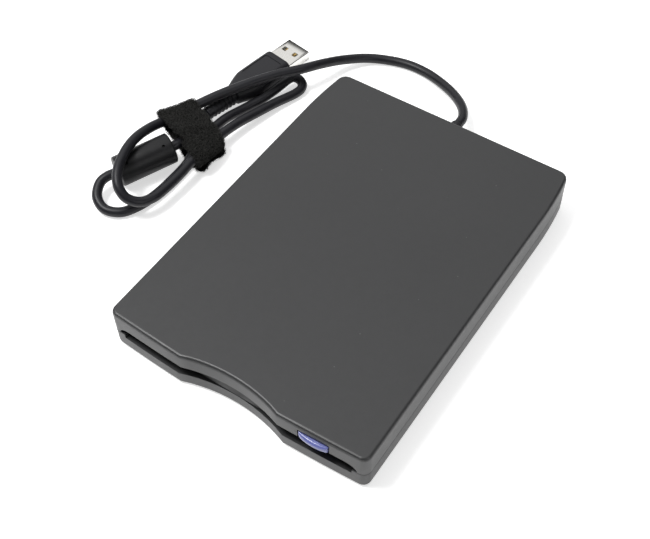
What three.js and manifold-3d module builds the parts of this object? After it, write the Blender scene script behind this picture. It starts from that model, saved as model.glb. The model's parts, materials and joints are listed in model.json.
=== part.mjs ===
// External floppy disk drive with its captive USB lead. Millimetres, +Z up, front towards -Y.
import * as THREE from 'three';
import { mergeVertices } from 'three/addons/utils/BufferGeometryUtils.js';
import Module from 'manifold-3d';

const wasm = await Module();
wasm.setup();

// Driving dimensions of the case
const caseWidth = 104;
const caseDepth = 144;
const caseThickness = 17.2;
const footProud = 0.8;
const wall = 1.8;
const seamHeight = 8.1;
const frontBow = 1.8;
const frontCornerRadius = 3;
const rearCornerRadius = 4;
const sweepLength = 24;
const sweepRadius = 150;
const notchCentreX = -0.9;
const notchHalfWidth = 19.6;
const notchDepth = 3.2;
const lowerNotchExtra = 0.6;
const slotBottom = 6.3;
const slotTop = 11.5;

// Driving dimensions of the disk and of what holds it
const diskLength = 94;
const diskHubFromLeadingEdge = 46;
const diskDrop = 2.2;
const ejectTravel = 4.5;
const ejectOvertravel = 0.5;
const outerTrackRadius = 39.5;
const leadScrewLead = 3.75;

// Driving dimensions of the lead
const cordDiameter = 4;
const exitX = -1.2;
const exitHeight = 8.6;

// Clearances shared by the whole object
const fitGap = 0.3;
const runningGap = 0.2;
const slidingGap = 0.25;
const overrun = 1;

// Places that follow from the driving dimensions
const halfWidth = caseWidth / 2;
const buttonProud = 0.8;
const rearY = (caseDepth + buttonProud) / 2;
const frontY = rearY - caseDepth;
const floorZ = footProud;
const topZ = footProud + caseThickness;
const innerFloorZ = floorZ + wall;
const ceilingZ = topZ - wall;
const notchRadius = (notchHalfWidth ** 2 + notchDepth ** 2) / (2 * notchDepth);
const notchRoot = frontY + notchDepth + frontBow * (notchHalfWidth / halfWidth) ** 2;
const doorSetBack = 0.5;
const doorFaceY = notchRoot + doorSetBack;

const segments = { fine: 32, round: 24, small: 16, tiny: 12, arc: 5, notch: 12, bow: 4, perTooth: 2, screw: 6,
  cord: 8, curve: 900, corner: 4, band: 36 };

const finishes = {
  shell: new THREE.MeshStandardMaterial({ color: 0x4c4d4f, roughness: 0.62, metalness: 0 }),
  button: new THREE.MeshStandardMaterial({ color: 0x5f66c4, roughness: 0.4, metalness: 0 }),
  door: new THREE.MeshStandardMaterial({ color: 0x404144, roughness: 0.6, metalness: 0 }),
  rubber: new THREE.MeshStandardMaterial({ color: 0x2a2a2c, roughness: 0.8, metalness: 0 }),
  cord: new THREE.MeshStandardMaterial({ color: 0x2c2c31, roughness: 0.45, metalness: 0 }),
  hook: new THREE.MeshStandardMaterial({ color: 0x17171a, roughness: 0.95, metalness: 0 }),
  steel: new THREE.MeshStandardMaterial({ color: 0xb9bcc0, roughness: 0.35, metalness: 0.9 }),
  plated: new THREE.MeshStandardMaterial({ color: 0xd9d7cf, roughness: 0.25, metalness: 1 }),
  brass: new THREE.MeshStandardMaterial({ color: 0xc9a85c, roughness: 0.35, metalness: 0.9 }),
  board: new THREE.MeshStandardMaterial({ color: 0x1f5a3a, roughness: 0.5, metalness: 0 }),
  chip: new THREE.MeshStandardMaterial({ color: 0x1b1b1d, roughness: 0.5, metalness: 0 }),
  white: new THREE.MeshStandardMaterial({ color: 0xe9e8e2, roughness: 0.5, metalness: 0 }),
  magnet: new THREE.MeshStandardMaterial({ color: 0x3a3634, roughness: 0.55, metalness: 0.3 }),
  copper: new THREE.MeshStandardMaterial({ color: 0xb8643a, roughness: 0.4, metalness: 0.8 }),
};

const object = new THREE.Group();
const caseGroup = new THREE.Group();
object.add(caseGroup);

// Solid helpers
function solidOf(geometry) {
  const bare = geometry.clone();
  bare.deleteAttribute('normal');
  bare.deleteAttribute('uv');
  const welded = mergeVertices(bare);
  return new wasm.Manifold(new wasm.Mesh({
    numProp: 3,
    vertProperties: new Float32Array(welded.attributes.position.array),
    triVerts: new Uint32Array(welded.index.array),
  }));
}

function geometryOf(solid) {
  const mesh = solid.getMesh();
  const geometry = new THREE.BufferGeometry();
  geometry.setAttribute('position', new THREE.BufferAttribute(new Float32Array(mesh.vertProperties), 3));
  geometry.setIndex(new THREE.BufferAttribute(new Uint32Array(mesh.triVerts), 1));
  return geometry;
}

// Turns every face round when the surface points inwards
function outward(geometry) {
  const flat = geometry.index ? geometry.toNonIndexed() : geometry;
  const at = flat.attributes.position;
  const corner = [new THREE.Vector3(), new THREE.Vector3(), new THREE.Vector3()];
  let volume = 0;
  for (let i = 0; i < at.count; i += 3) {
    corner.forEach((point, k) => point.fromBufferAttribute(at, i + k));
    volume += corner[0].dot(corner[1].clone().cross(corner[2]));
  }
  if (volume < 0) {
    for (let i = 0; i < at.count; i += 3) {
      const [x, y, z] = [at.getX(i), at.getY(i), at.getZ(i)];
      at.setXYZ(i, at.getX(i + 1), at.getY(i + 1), at.getZ(i + 1));
      at.setXYZ(i + 1, x, y, z);
    }
  }
  return flat;
}

function join(pieces) {
  return pieces.map(solidOf).reduce((sum, solid) => sum.add(solid));
}

function cutFrom(solid, tools) {
  return tools.reduce((rest, tool) => rest.subtract(solidOf(tool)), solid);
}

function place(name, geometry, finish, parent = caseGroup) {
  const mesh = new THREE.Mesh(geometry, finishes[finish]);
  mesh.name = name;
  parent.add(mesh);
  return mesh;
}

// A box between two opposite corners
function block(x0, x1, y0, y1, z0, z1) {
  const geometry = new THREE.BoxGeometry(x1 - x0, y1 - y0, z1 - z0);
  return geometry.translate((x0 + x1) / 2, (y0 + y1) / 2, (z0 + z1) / 2);
}

// The same stretch on the left or the right, lowest end first
function span(side, near, far) {
  return side < 0 ? [-far, -near] : [near, far];
}

// A rod between two points
function rod(from, to, radius, sides = segments.small) {
  const along = to.clone().sub(from);
  const geometry = new THREE.CylinderGeometry(radius, radius, along.length(), sides);
  const turn = new THREE.Quaternion().setFromUnitVectors(new THREE.Vector3(0, 1, 0), along.normalize());
  geometry.applyQuaternion(turn);
  const middle = from.clone().add(to).multiplyScalar(1 / 2);
  return geometry.translate(middle.x, middle.y, middle.z);
}

// An upright disc or post
function post(x, y, z0, z1, radius, sides = segments.tiny) {
  return rod(new THREE.Vector3(x, y, z0), new THREE.Vector3(x, y, z1), radius, sides);
}

// A rod along X
function pinX(x0, x1, y, z, radius, sides = segments.tiny) {
  return rod(new THREE.Vector3(x0, y, z), new THREE.Vector3(x1, y, z), radius, sides);
}

// A flat plate from an outline in the plane of the table
function plate(points, z0, z1) {
  const shape = new THREE.Shape(points.map(([x, y]) => new THREE.Vector2(x, y)));
  return new THREE.ExtrudeGeometry(shape, { depth: z1 - z0, bevelEnabled: false }).translate(0, 0, z0);
}

// A plate whose outline lies in the plane of Y and Z, spread along X
function sidePlate(points, x0, x1) {
  const shape = new THREE.Shape(points.map(([y, z]) => new THREE.Vector2(y, z)));
  const geometry = new THREE.ExtrudeGeometry(shape, { depth: x1 - x0, bevelEnabled: false });
  const turn = new THREE.Matrix4().makeBasis(
    new THREE.Vector3(0, 1, 0), new THREE.Vector3(0, 0, 1), new THREE.Vector3(1, 0, 0));
  return geometry.applyMatrix4(turn).translate(x0, 0, 0);
}

// A solid of revolution about an upright axis, from pairs of radius and height
function turned(profile, sides = segments.round) {
  const points = profile.map(([radius, height]) => new THREE.Vector2(radius, height));
  if (profile[0][0] > 0) {
    points.push(points[0].clone());
  }
  return outward(new THREE.LatheGeometry(points, sides).rotateX(Math.PI / 2));
}

// A closed skin over rings of points, all with the same count and turning the same way
function loft(rings) {
  const count = rings[0].length;
  const positions = rings.flat().flatMap((point) => [point.x, point.y, point.z]);
  const index = [];
  for (let ring = 0; ring + 1 < rings.length; ring++) {
    for (let i = 0; i < count; i++) {
      const a = ring * count + i;
      const b = ring * count + (i + 1) % count;
      index.push(a, b, b + count, a, b + count, a + count);
    }
  }
  const flat = (ring) => {
    const across = ring[1].clone().sub(ring[0]).normalize();
    const middle = ring.reduce((sum, point) => sum.add(point), new THREE.Vector3()).divideScalar(count);
    let normal = new THREE.Vector3();
    ring.forEach((point, i) => {
      const next = ring[(i + 1) % count];
      normal.add(point.clone().sub(middle).cross(next.clone().sub(middle)));
    });
    normal = normal.normalize();
    const up = normal.clone().cross(across);
    return ring.map((point) => new THREE.Vector2(point.clone().sub(middle).dot(across),
      point.clone().sub(middle).dot(up)));
  };
  const last = (rings.length - 1) * count;
  for (const [a, b, c] of THREE.ShapeUtils.triangulateShape(flat(rings[0]), [])) {
    index.push(c, b, a);
  }
  for (const [a, b, c] of THREE.ShapeUtils.triangulateShape(flat(rings[rings.length - 1]), [])) {
    index.push(last + a, last + b, last + c);
  }
  const geometry = new THREE.BufferGeometry();
  geometry.setAttribute('position', new THREE.Float32BufferAttribute(positions, 3));
  geometry.setIndex(index);
  return outward(geometry);
}

// A body of stacked outlines, each level a height and how far its outline is drawn in
function stack(outline, levels) {
  return loft(levels.map(([height, inset]) =>
    outline(inset).map(([x, y]) => new THREE.Vector3(x, y, height))));
}

// Every point of a ring the same number of steps along an arc
function arcPoints(centre, radius, from, to, steps) {
  const points = [];
  for (let i = 0; i <= steps; i++) {
    const angle = from + (to - from) * i / steps;
    points.push([centre[0] + radius * Math.cos(angle), centre[1] + radius * Math.sin(angle)]);
  }
  return points;
}

// The two meeting points of two circles, left one first
function circlesMeet(a, radiusA, b, radiusB) {
  const dx = b[0] - a[0];
  const dy = b[1] - a[1];
  const apart = Math.hypot(dx, dy);
  const along = (radiusA ** 2 - radiusB ** 2 + apart ** 2) / (2 * apart);
  const off = Math.sqrt(radiusA ** 2 - along ** 2);
  const base = [a[0] + dx * along / apart, a[1] + dy * along / apart];
  const one = [base[0] - dy * off / apart, base[1] + dx * off / apart];
  const other = [base[0] + dy * off / apart, base[1] - dx * off / apart];
  return one[0] < other[0] ? [one, other] : [other, one];
}

// Outline of the case seen from above, drawn in by an inset, with the finger notch cut extra deep
const bowRadius = halfWidth ** 2 / (2 * frontBow);
const bowCentre = [0, frontY + bowRadius];
const sweepStartY = rearY - sweepLength;

function caseOutline(inset, notchExtra) {
  const cornerX = halfWidth - frontCornerRadius;
  const cornerDrop = Math.sqrt((bowRadius - frontCornerRadius) ** 2 - cornerX ** 2);
  const cornerY = bowCentre[1] - cornerDrop;
  const cornerEnd = Math.atan2(-cornerDrop, cornerX);
  const cornerRadius = frontCornerRadius - inset;
  const right = arcPoints([cornerX, cornerY], cornerRadius, cornerEnd, 0, segments.arc);
  const sweepEnd = Math.asin((rearY - rearCornerRadius - sweepStartY) / (sweepRadius - rearCornerRadius));
  const sweepCentreX = halfWidth - sweepRadius;
  right.push(...arcPoints([sweepCentreX, sweepStartY], sweepRadius - inset, 0, sweepEnd, segments.arc));
  const rearX = sweepCentreX + (sweepRadius - rearCornerRadius) * Math.cos(sweepEnd);
  const rearCentre = [rearX, rearY - rearCornerRadius];
  right.push(...arcPoints(rearCentre, rearCornerRadius - inset, sweepEnd, Math.PI / 2,
    segments.arc).slice(1));
  const left = right.map(([x, y]) => [-x, y]).reverse();
  const notchCentre = [notchCentreX, notchRoot - notchRadius];
  const grown = notchRadius + notchExtra + inset;
  const bowInset = bowRadius - inset;
  const [from, to] = circlesMeet(bowCentre, bowInset, notchCentre, grown);
  const notch = arcPoints(notchCentre, grown,
    Math.atan2(from[1] - notchCentre[1], from[0] - notchCentre[0]),
    Math.atan2(to[1] - notchCentre[1], to[0] - notchCentre[0]), segments.notch);
  const bow = (startX, endX) => {
    const points = [];
    for (let i = 1; i < segments.bow; i++) {
      const x = startX + (endX - startX) * i / segments.bow;
      points.push([x, bowCentre[1] - Math.sqrt(bowInset ** 2 - x ** 2)]);
    }
    return points;
  };
  const leftEnd = left[left.length - 1];
  return [...bow(leftEnd[0], from[0]), ...notch, ...bow(to[0], right[0][0]), ...right, ...left];
}

const upperOutline = (inset) => caseOutline(inset, 0);
const lowerOutline = (inset) => caseOutline(inset, lowerNotchExtra);

// Sizes that both covers share
const seam = { chamfer: 0.25, tongueInset: 1, tongueRise: 1.2, rebateInset: 0.85, rebateRise: 1.4, root: 1,
  behind: 13 };
const bay = { sideIn: 5.6, top: 14.6, wallLeft: 1, depth: 8.5 };
bay.halfWidth = halfWidth - bay.sideIn;
const lip = { thickness: 1.3, clearOfDoor: 0.3, endReach: 5, sideIn: 3.5, recessPlay: 0.1 };
lip.halfWidth = halfWidth - lip.sideIn;
lip.recessHalfWidth = bay.halfWidth + lip.recessPlay;
const lipBackY = doorFaceY - lip.clearOfDoor;
const bayFrontY = notchRoot + bay.wallLeft;
const bayRearY = bayFrontY + bay.depth;
const foot = { sideIn: 10, frontIn: 10.75, rearIn: 15.25, radius: 5, recess: 0.5, fit: 0.15, edge: 0.35 };
foot.x = halfWidth - foot.sideIn;
const footYs = [frontY + foot.frontIn, rearY - foot.rearIn];
const caseScrew = { sideIn: 8, rearIn: 7.2, pillarRadius: 3.1, pillarTop: 6.2, bossRadius: 2.6, reach: 12,
  sinkTop: 3.4 };
caseScrew.x = halfWidth - caseScrew.sideIn;
const caseScrewY = rearY - caseScrew.rearIn;
const screw = { shankRadius: 0.9, holeRadius: 1.2, headRadius: 2.1, sinkRadius: 2.4, headHeight: 0.8,
  driveDepth: 0.4, driveRadius: 0.9, seatRise: 1 };
const gland = { neckRadius: 3.3, flangeRadius: 4.6, flangeThickness: 1.2, collarRadius: 3.55, tipRadius: 2.75,
  reach: 7.95, ribs: 4, ribDepth: 0.35, seat: 0.15 };

// Where the mechanism stands, taken from the axis the disk turns on
const diskDoorGap = 0.4;
const doorThickness = 1;
const spindleY = doorFaceY + doorThickness + diskDoorGap + diskLength - diskHubFromLeadingEdge;
const headY = spindleY + outerTrackRadius;

// Across the mechanism, from the case wall inwards: shield, chassis, slide plate and disk carrier
const shield = { sideRoom: 1.9, ahead: 34, sheet: 0.4, skirtBottom: 11.6, hookAhead: 6, hookWidth: 2.4,
  hookBottom: 13 };
shield.outer = halfWidth - wall - shield.sideRoom;
const chassis = { ahead: 40.5, behind: 76.5, sheet: 0.8, underside: 2.9, wallTop: 15.1, screwIn: 9.2,
  screwAhead: 23.5, screwBehind: 68.5, collarRadius: 2, collarTop: 4.7, padRadius: 3.2 };
chassis.outer = shield.outer - shield.sheet - runningGap;
chassis.inner = chassis.outer - chassis.sheet;
chassis.screwX = chassis.outer - chassis.screwIn;
const chassisFloorTop = chassis.underside + chassis.sheet;
const chassisScrewYs = [spindleY - chassis.screwAhead, spindleY + chassis.screwBehind];
const usb = { boardHalfWidth: 14, boardRearIn: 3.8, boardLength: 9.5, boardBottom: 5, boardTop: 6.2,
  postX: 11, postRadius: 1.5, boxHalfWidth: 4.5, boxHeight: 3.8, boxLength: 6, boxRearIn: 0.4 };
const usbBoardRearY = rearY - usb.boardRearIn;
const usbPostY = usbBoardRearY - usb.boardLength / 2;

// The opening in the front wall seen from the front
function slotOpening() {
  const shape = new THREE.Shape();
  const halfFlat = lip.halfWidth - lip.endReach;
  shape.moveTo(-lip.halfWidth, seamHeight - overrun);
  shape.lineTo(lip.halfWidth, seamHeight - overrun);
  shape.lineTo(lip.halfWidth, seamHeight);
  for (let i = 1; i <= segments.arc; i++) {
    const angle = Math.PI / 2 * i / segments.arc;
    shape.lineTo(halfFlat + lip.endReach * Math.cos(angle),
      seamHeight + (slotTop - seamHeight) * Math.sin(angle));
  }
  for (let i = segments.arc; i >= 0; i--) {
    const angle = Math.PI / 2 * i / segments.arc;
    shape.lineTo(-halfFlat - lip.endReach * Math.cos(angle),
      seamHeight + (slotTop - seamHeight) * Math.sin(angle));
  }
  const depth = lipBackY + overrun - (frontY - overrun);
  return new THREE.ExtrudeGeometry(shape, { depth, bevelEnabled: false })
    .rotateX(Math.PI / 2).translate(0, lipBackY + overrun, 0);
}

// The disk door hangs from a pin behind the upper lip
const door = { sidePlay: 0.65, bottom: 6.9, top: 11.3, hingeHeight: 13.3, barrelRadius: 1, pinRadius: 0.5,
  webThickness: 0.8, webForward: 0.95, springFrom: 24, springTo: 31, springGap: 0.4, earThickness: 1.8,
  earDepth: 2.8, earBottom: 12, behindWall: 0.15, webLap: 1, springRoom: 1.5 };
door.halfWidth = bay.halfWidth - door.sidePlay;
const hingeY = bayFrontY + door.barrelRadius + door.behindWall;

// The eject button and the stem that carries it on the slide plate
const button = { sideIn: 14, width: 11.1, bottom: 12, rearBehind: 2.75, noseDepth: 1.5, stemLeftIn: 1.1,
  stemRightIn: 1, stemBottom: 14.5, stemTop: 15.4, stemStart: 1, stemBeyondTab: 2,
  levels: [[0, 1], [0.2, 0.64], [0.5, 0.32], [0.9, 0.1], [1.3, 0], [1.9, 0.05], [2.3, 0.22], [2.6, 0.55],
    [2.8, 1]] };
button.right = halfWidth - button.sideIn;
button.left = button.right - button.width;
button.stemLeft = button.left + button.stemLeftIn;
button.stemRight = button.right - button.stemRightIn;
const buttonRearY = frontY + button.rearBehind;
const slide = { sheet: 0.5, bottom: 5.2, stripBottom: 12.6, stripTop: 13, ahead: 36.4, behind: 38.5,
  stripBehind: 19.5, slotHalf: 1, tabIn: 2, tabTop: 15.4, tabThickness: 0.5, hookIn: 4.65, hookBehind: 9.6,
  hookThickness: 0.4, hookTop: 14.4, hookLength: 3 };
slide.outer = chassis.inner - slidingGap;
slide.inner = slide.outer - slide.sheet;
slide.hookX = slide.outer - slide.hookIn;
slide.tabLeft = button.stemLeft + slide.tabIn;
slide.tabRight = button.stemRight - slide.tabIn;
const slideTabY = spindleY - slide.ahead;

// Sizes of the mechanism, distances ahead of and behind the disk axis unless they say otherwise
const latch = { pivotX: -26, pivotBehind: 51.5, tipInsideHook: 1, tipBehind: 39.5, tailX: -20, tailBehind: 57,
  bottom: 7.6, sheet: 0.8, play: 0.1, bossRadius: 3, tipRadius: 1.4, neckRadius: 1, shoulderRadius: 1.8,
  headRadius: 1.9, headHeight: 0.6 };
latch.tipX = latch.tipInsideHook - slide.hookX;
const motor = { boardFromScrew: 2.5, boardAhead: 25.5, boardBehind: 26.5, boardTop: 4.1, notchHalfWidth: 6.5,
  notchBehind: 21.2, neckRadius: 2.9, bearingRadius: 4, boreRadius: 2.2, bearingTop: 4.8, teeth: 12,
  coreBore: 6, coreRadius: 10.5, toothBottom: 4.3, toothTop: 4.8, toothRoot: 9, toothNeck: 15.4,
  toothShoulder: 15.6, toothTip: 17.4, neckShare: 0.18, rootShare: 0.3, shoulderShare: 0.7, tipShare: 0.65,
  shaftRadius: 1.9, shaftBottom: 3.85, discBottom: 5, discTop: 5.3, skirtInner: 20.1, skirtBottom: 4.4,
  discRadius: 21, hubRadius: 6, hubTop: 5.9, shaftTop: 7, magnetInner: 18.3, magnetOuter: 20,
  drivePinAt: 9.5, drivePinRadius: 1, drivePinTop: 6.9 };
motor.boardHalfWidth = chassis.screwX - chassis.collarRadius - motor.boardFromScrew;
const leadScrew = { x: -14, height: 8.6, tipBehind: 46, threadFrom: 47.3, threadTo: 66, meanRadius: 1.5,
  grooveHalf: 0.3, journalRadius: 1, followerAt: 1.45, followerHalf: 0.4 };
const bearing = { front: 46.3, rear: 66.4, sheet: 0.6, halfWidth: 2.6, railHalf: 1.8, railRise: 1.3 };
const guide = { x: 13, height: 5.2, radius: 0.7, proud: 0.4 };
const stepper = { front: 67, gap: 0.2, length: 8.6, radius: 4.6, footHalf: 3 };
const carriage = { noseHalf: 5, noseAhead: 3.2, noseTop: 5, bottom: 3.9, left: -10, right: 16, blockTop: 9.4,
  blockFront: 62, blockRear: 66.1, postHalf: 3.5, postTop: 12, bossDepth: 0.9, bossTop: 14.1 };
const arm = { ahead: 4, behind: 0.7, halfWidth: 4.5, bottom: 12.8, top: 13.8, hingeHeight: 12.4,
  knuckleRadius: 0.9, knuckleHalf: 3.2, hingeBehind: 63.75 };
const head = { halfWidth: 3, halfLength: 2.2, mediaHeight: 7.05, upperBottom: 11.6 };
const leaf = { halfWidth: 2, reach: 8, sheet: 0.3, dimpleRadius: 0.8, touch: 0.05 };
const sense = { sideIn: 10.7, ahead: 34.5, halfWidth: 3, halfLength: 3.4, bodyTop: 5.3, base: 0.1,
  plungerRadius: 0.8, plungerBottom: 5.05, plungerTop: 6.6 };
sense.x = chassis.outer - sense.sideIn;
const board = { left: 18, rightIn: 0.9, front: 47.5, rear: 75.5, bottom: 4.7, top: 5.7, postIn: 4,
  postBehind: 51.5, postRadius: 1.2, chipHalf: 6, chipHeight: 1.4 };
board.right = chassis.inner - board.rightIn;
board.postX = board.left + board.postIn;
const doorSpring = { radius: 0.95, wire: 0.15, length: 6, turns: 5, stepsPerTurn: 7, sides: 4 };
const slideSpring = { radius: 0.75, wire: 0.18, length: 14.4, turns: 9, stepsPerTurn: 6, sides: 4,
  height: 13.75 };
const latchSpring = { radius: 2.3, wire: 0.25, length: 2.6, turns: 3, stepsPerTurn: 10, sides: 4, rise: 0.6 };
const armHingeY = spindleY + arm.hingeBehind;
const followerY = spindleY + (carriage.blockFront + carriage.blockRear) / 2;

// Sizes along and across the lead, its choke, its tie and its plug
const cordLook = 3;
const cordSteps = { free: 3.2, wound: 2.7 };
const choke = { radius: 6.2, edge: 0.9, from: [-99.6, -84.85, 6.5], to: [-89.4, -63.85, 7.9] };
const plug = { front: [-84.5, 2.35, 4.6], lean: [0.17, 0.985, 0], halfHeight: 4.1, reliefStart: 25,
  reliefFrom: 28, reliefEnd: 42, reliefRadius: 3.6, reliefTip: 3, ribs: 5, ribDepth: 0.5, panelHalf: 4.6,
  panelFrom: 3, panelTo: 17, panelDepth: 0.3, straightRun: 2.5,
  sections: [[0, 6.7, 3.6, 2.6], [0.5, 7, 4, 2.9], [1.2, 7.1, 4.1, 3], [18, 7, 4, 3], [23, 5.7, 3.7, 3],
    [27, 4.1, 3.5, 2.9]] };
const tie = { middle: [-88.5, -49.1, 0], leanX: 0.39, leanY: 0.92, length: 12.4, sections: 5, look: 20,
  slack: 0.3, band: 0.9, leanShare: 0.96 };
const shell = { halfWidth: 6, halfHeight: 2.25, sheet: 0.35, length: 12, inside: 2.5, holeX: 2.9, holeY: 6.4,
  holeHalf: 1.1, tongueBack: 0.6, tongueTop: 0.2 };

// Heights above the floor or below the top, each with how far the outline is drawn in there
const crown = [[1.4, 0], [0.7, 0.2], [0.25, 0.6], [0, 1.3]];
const base = [[0, 0.7], [0.15, 0.36], [0.45, 0.12], [1, 0]];

// Screw driven upwards, head down, with a sunk drive
function floorScrew(x, y, seat, tip) {
  const headBottom = seat - screw.headHeight;
  const driveTop = headBottom + screw.driveDepth;
  const profile = [[0, driveTop], [screw.driveRadius, driveTop], [screw.driveRadius, headBottom],
    [screw.headRadius, headBottom], [screw.headRadius, seat], [screw.shankRadius, seat],
    [screw.shankRadius, tip], [0, tip]];
  return turned(profile, segments.tiny).translate(x, y, 0);
}

function exitHole() {
  const radius = gland.neckRadius + fitGap;
  const from = new THREE.Vector3(exitX, rearY + overrun, exitHeight);
  const to = new THREE.Vector3(exitX, rearY - wall - overrun, exitHeight);
  return rod(from, to, radius, segments.round);
}

// A thin ring that follows the case wall, between two insets
function wallRing(outline, outerInset, innerInset, z0, z1) {
  const ring = solidOf(stack(outline, [[z0, outerInset], [z1, outerInset]]));
  const inside = stack(outline, [[z0 - overrun, innerInset], [z1 + overrun, innerInset]]);
  const behind = block(-caseWidth, caseWidth, frontY + seam.behind, rearY, z0 - overrun, z1 + overrun);
  return ring.subtract(solidOf(inside)).intersect(solidOf(behind));
}

function topCover() {
  const levels = [[seamHeight, seam.chamfer], [seamHeight + seam.chamfer, 0],
    ...crown.map(([drop, inset]) => [topZ - drop, inset])];
  const keep = [block(-lip.halfWidth, lip.halfWidth, frontY - overrun, lipBackY, slotTop,
    slotTop + lip.thickness)];
  for (const side of [-1, 1]) {
    keep.push(block(...span(side, bay.halfWidth, bay.halfWidth + door.earThickness),
      hingeY - door.earDepth / 2, hingeY + door.earDepth / 2, door.earBottom, ceilingZ + overrun));
    keep.push(post(side * caseScrew.x, caseScrewY, caseScrew.pillarTop + fitGap, ceilingZ + overrun,
      caseScrew.bossRadius));
  }
  const hollow = stack(upperOutline, [[seamHeight - overrun, wall], [ceilingZ, wall]]);
  const cavity = cutFrom(solidOf(hollow), keep);
  const shell = solidOf(stack(upperOutline, levels)).subtract(cavity)
    .subtract(wallRing(upperOutline, seam.rebateInset, wall, seamHeight - overrun,
      seamHeight + seam.rebateRise));
  const pinReach = bay.halfWidth + door.earThickness + overrun;
  const tools = [slotOpening(), exitHole(),
    block(-bay.halfWidth, bay.halfWidth, lipBackY, bayRearY, seamHeight - overrun, slotTop),
    block(-bay.halfWidth, bay.halfWidth, bayFrontY, bayRearY, seamHeight - overrun, bay.top),
    block(button.left - fitGap, button.right + fitGap, frontY - overrun, bayFrontY, slotTop - overrun,
      button.stemTop + fitGap),
    pinX(-pinReach, pinReach, hingeY, door.hingeHeight, door.pinRadius + runningGap)];
  for (const side of [-1, 1]) {
    tools.push(post(side * caseScrew.x, caseScrewY, seamHeight - wall - overrun, caseScrew.reach + fitGap,
      screw.holeRadius, segments.tiny));
  }
  return geometryOf(cutFrom(shell, tools));
}

function bottomCover() {
  const levels = [...base.map(([rise, inset]) => [floorZ + rise, inset]),
    [seamHeight - seam.chamfer, 0], [seamHeight, seam.chamfer]];
  const keep = [block(-lip.recessHalfWidth, lip.recessHalfWidth, frontY - overrun, lipBackY,
    slotBottom - lip.thickness, slotBottom)];
  const tools = [exitHole(),
    block(-lip.recessHalfWidth, lip.recessHalfWidth, frontY - overrun, bayRearY, slotBottom,
      seamHeight + overrun)];
  for (const side of [-1, 1]) {
    keep.push(post(side * caseScrew.x, caseScrewY, floorZ, caseScrew.pillarTop, caseScrew.pillarRadius));
    keep.push(post(exitX + side * usb.postX, usbPostY, floorZ, usb.boardBottom, usb.postRadius,
      segments.tiny));
    tools.push(post(side * caseScrew.x, caseScrewY, floorZ - overrun, caseScrew.sinkTop, screw.sinkRadius));
    tools.push(post(side * caseScrew.x, caseScrewY, floorZ, caseScrew.pillarTop + overrun, screw.holeRadius,
      segments.tiny));
    for (const y of chassisScrewYs) {
      keep.push(post(side * chassis.screwX, y, floorZ, chassis.underside, chassis.padRadius));
      tools.push(post(side * chassis.screwX, y, floorZ - overrun, floorZ + screw.seatRise, screw.sinkRadius));
      tools.push(post(side * chassis.screwX, y, floorZ, chassis.underside + overrun, screw.holeRadius,
        segments.tiny));
    }
    for (const y of footYs) {
      tools.push(post(side * foot.x, y, floorZ - overrun, floorZ + foot.recess, foot.radius + foot.fit,
        segments.round));
    }
  }
  const hollow = stack(lowerOutline, [[innerFloorZ, wall], [seamHeight + overrun, wall]]);
  const cavity = cutFrom(solidOf(hollow), keep);
  const shell = solidOf(stack(lowerOutline, levels)).subtract(cavity)
    .add(wallRing(lowerOutline, seam.tongueInset, wall, seamHeight - seam.root,
      seamHeight + seam.tongueRise));
  return geometryOf(cutFrom(shell, tools));
}

function rubberFoot() {
  const top = floorZ + foot.recess;
  return turned([[0, 0], [foot.radius - foot.edge, 0], [foot.radius, foot.edge], [foot.radius, top],
    [0, top]]);
}

function slotDoor() {
  const bodies = join([
    block(-door.halfWidth, door.halfWidth, doorFaceY, doorFaceY + doorThickness, door.bottom, door.top),
    block(-door.halfWidth, door.halfWidth, hingeY - door.webForward,
      hingeY - door.webForward + door.webThickness, door.top - door.webLap, door.hingeHeight),
    pinX(-door.halfWidth, door.halfWidth, hingeY, door.hingeHeight, door.barrelRadius)]);
  const across = door.barrelRadius + runningGap;
  const reach = door.halfWidth + overrun;
  return geometryOf(cutFrom(bodies, [
    block(-door.springTo, -door.springFrom, hingeY - across, hingeY + across,
      door.hingeHeight - door.springRoom, door.hingeHeight + door.barrelRadius + overrun),
    pinX(-reach, reach, hingeY, door.hingeHeight, door.pinRadius + runningGap)]));
}

// A wound spring of round wire along X, Y or Z
class Winding extends THREE.Curve {
  constructor(start, axis, radius, length, turns) {
    super();
    this.start = start;
    this.axis = axis;
    this.radius = radius;
    this.length = length;
    this.turns = turns;
  }

  getPoint(t) {
    const angle = 2 * Math.PI * this.turns * t;
    const [a, b] = [this.radius * Math.cos(angle), this.radius * Math.sin(angle)];
    const run = this.length * t;
    const point = { x: [run, a, b], y: [a, run, b], z: [a, b, run] }[this.axis];
    return new THREE.Vector3(...point).add(this.start);
  }
}

function circleShape(radius, sides) {
  const points = arcPoints([0, 0], radius, 0, 2 * Math.PI, sides).slice(0, sides);
  return new THREE.Shape(points.map(([x, y]) => new THREE.Vector2(x, y)));
}

function along(path, radius, steps, sides) {
  return new THREE.ExtrudeGeometry(circleShape(radius, sides), { steps, extrudePath: path,
    bevelEnabled: false });
}

function winding(start, axis, spring) {
  const path = new Winding(start, axis, spring.radius, spring.length, spring.turns);
  return along(path, spring.wire, spring.turns * spring.stepsPerTurn, spring.sides);
}

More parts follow.
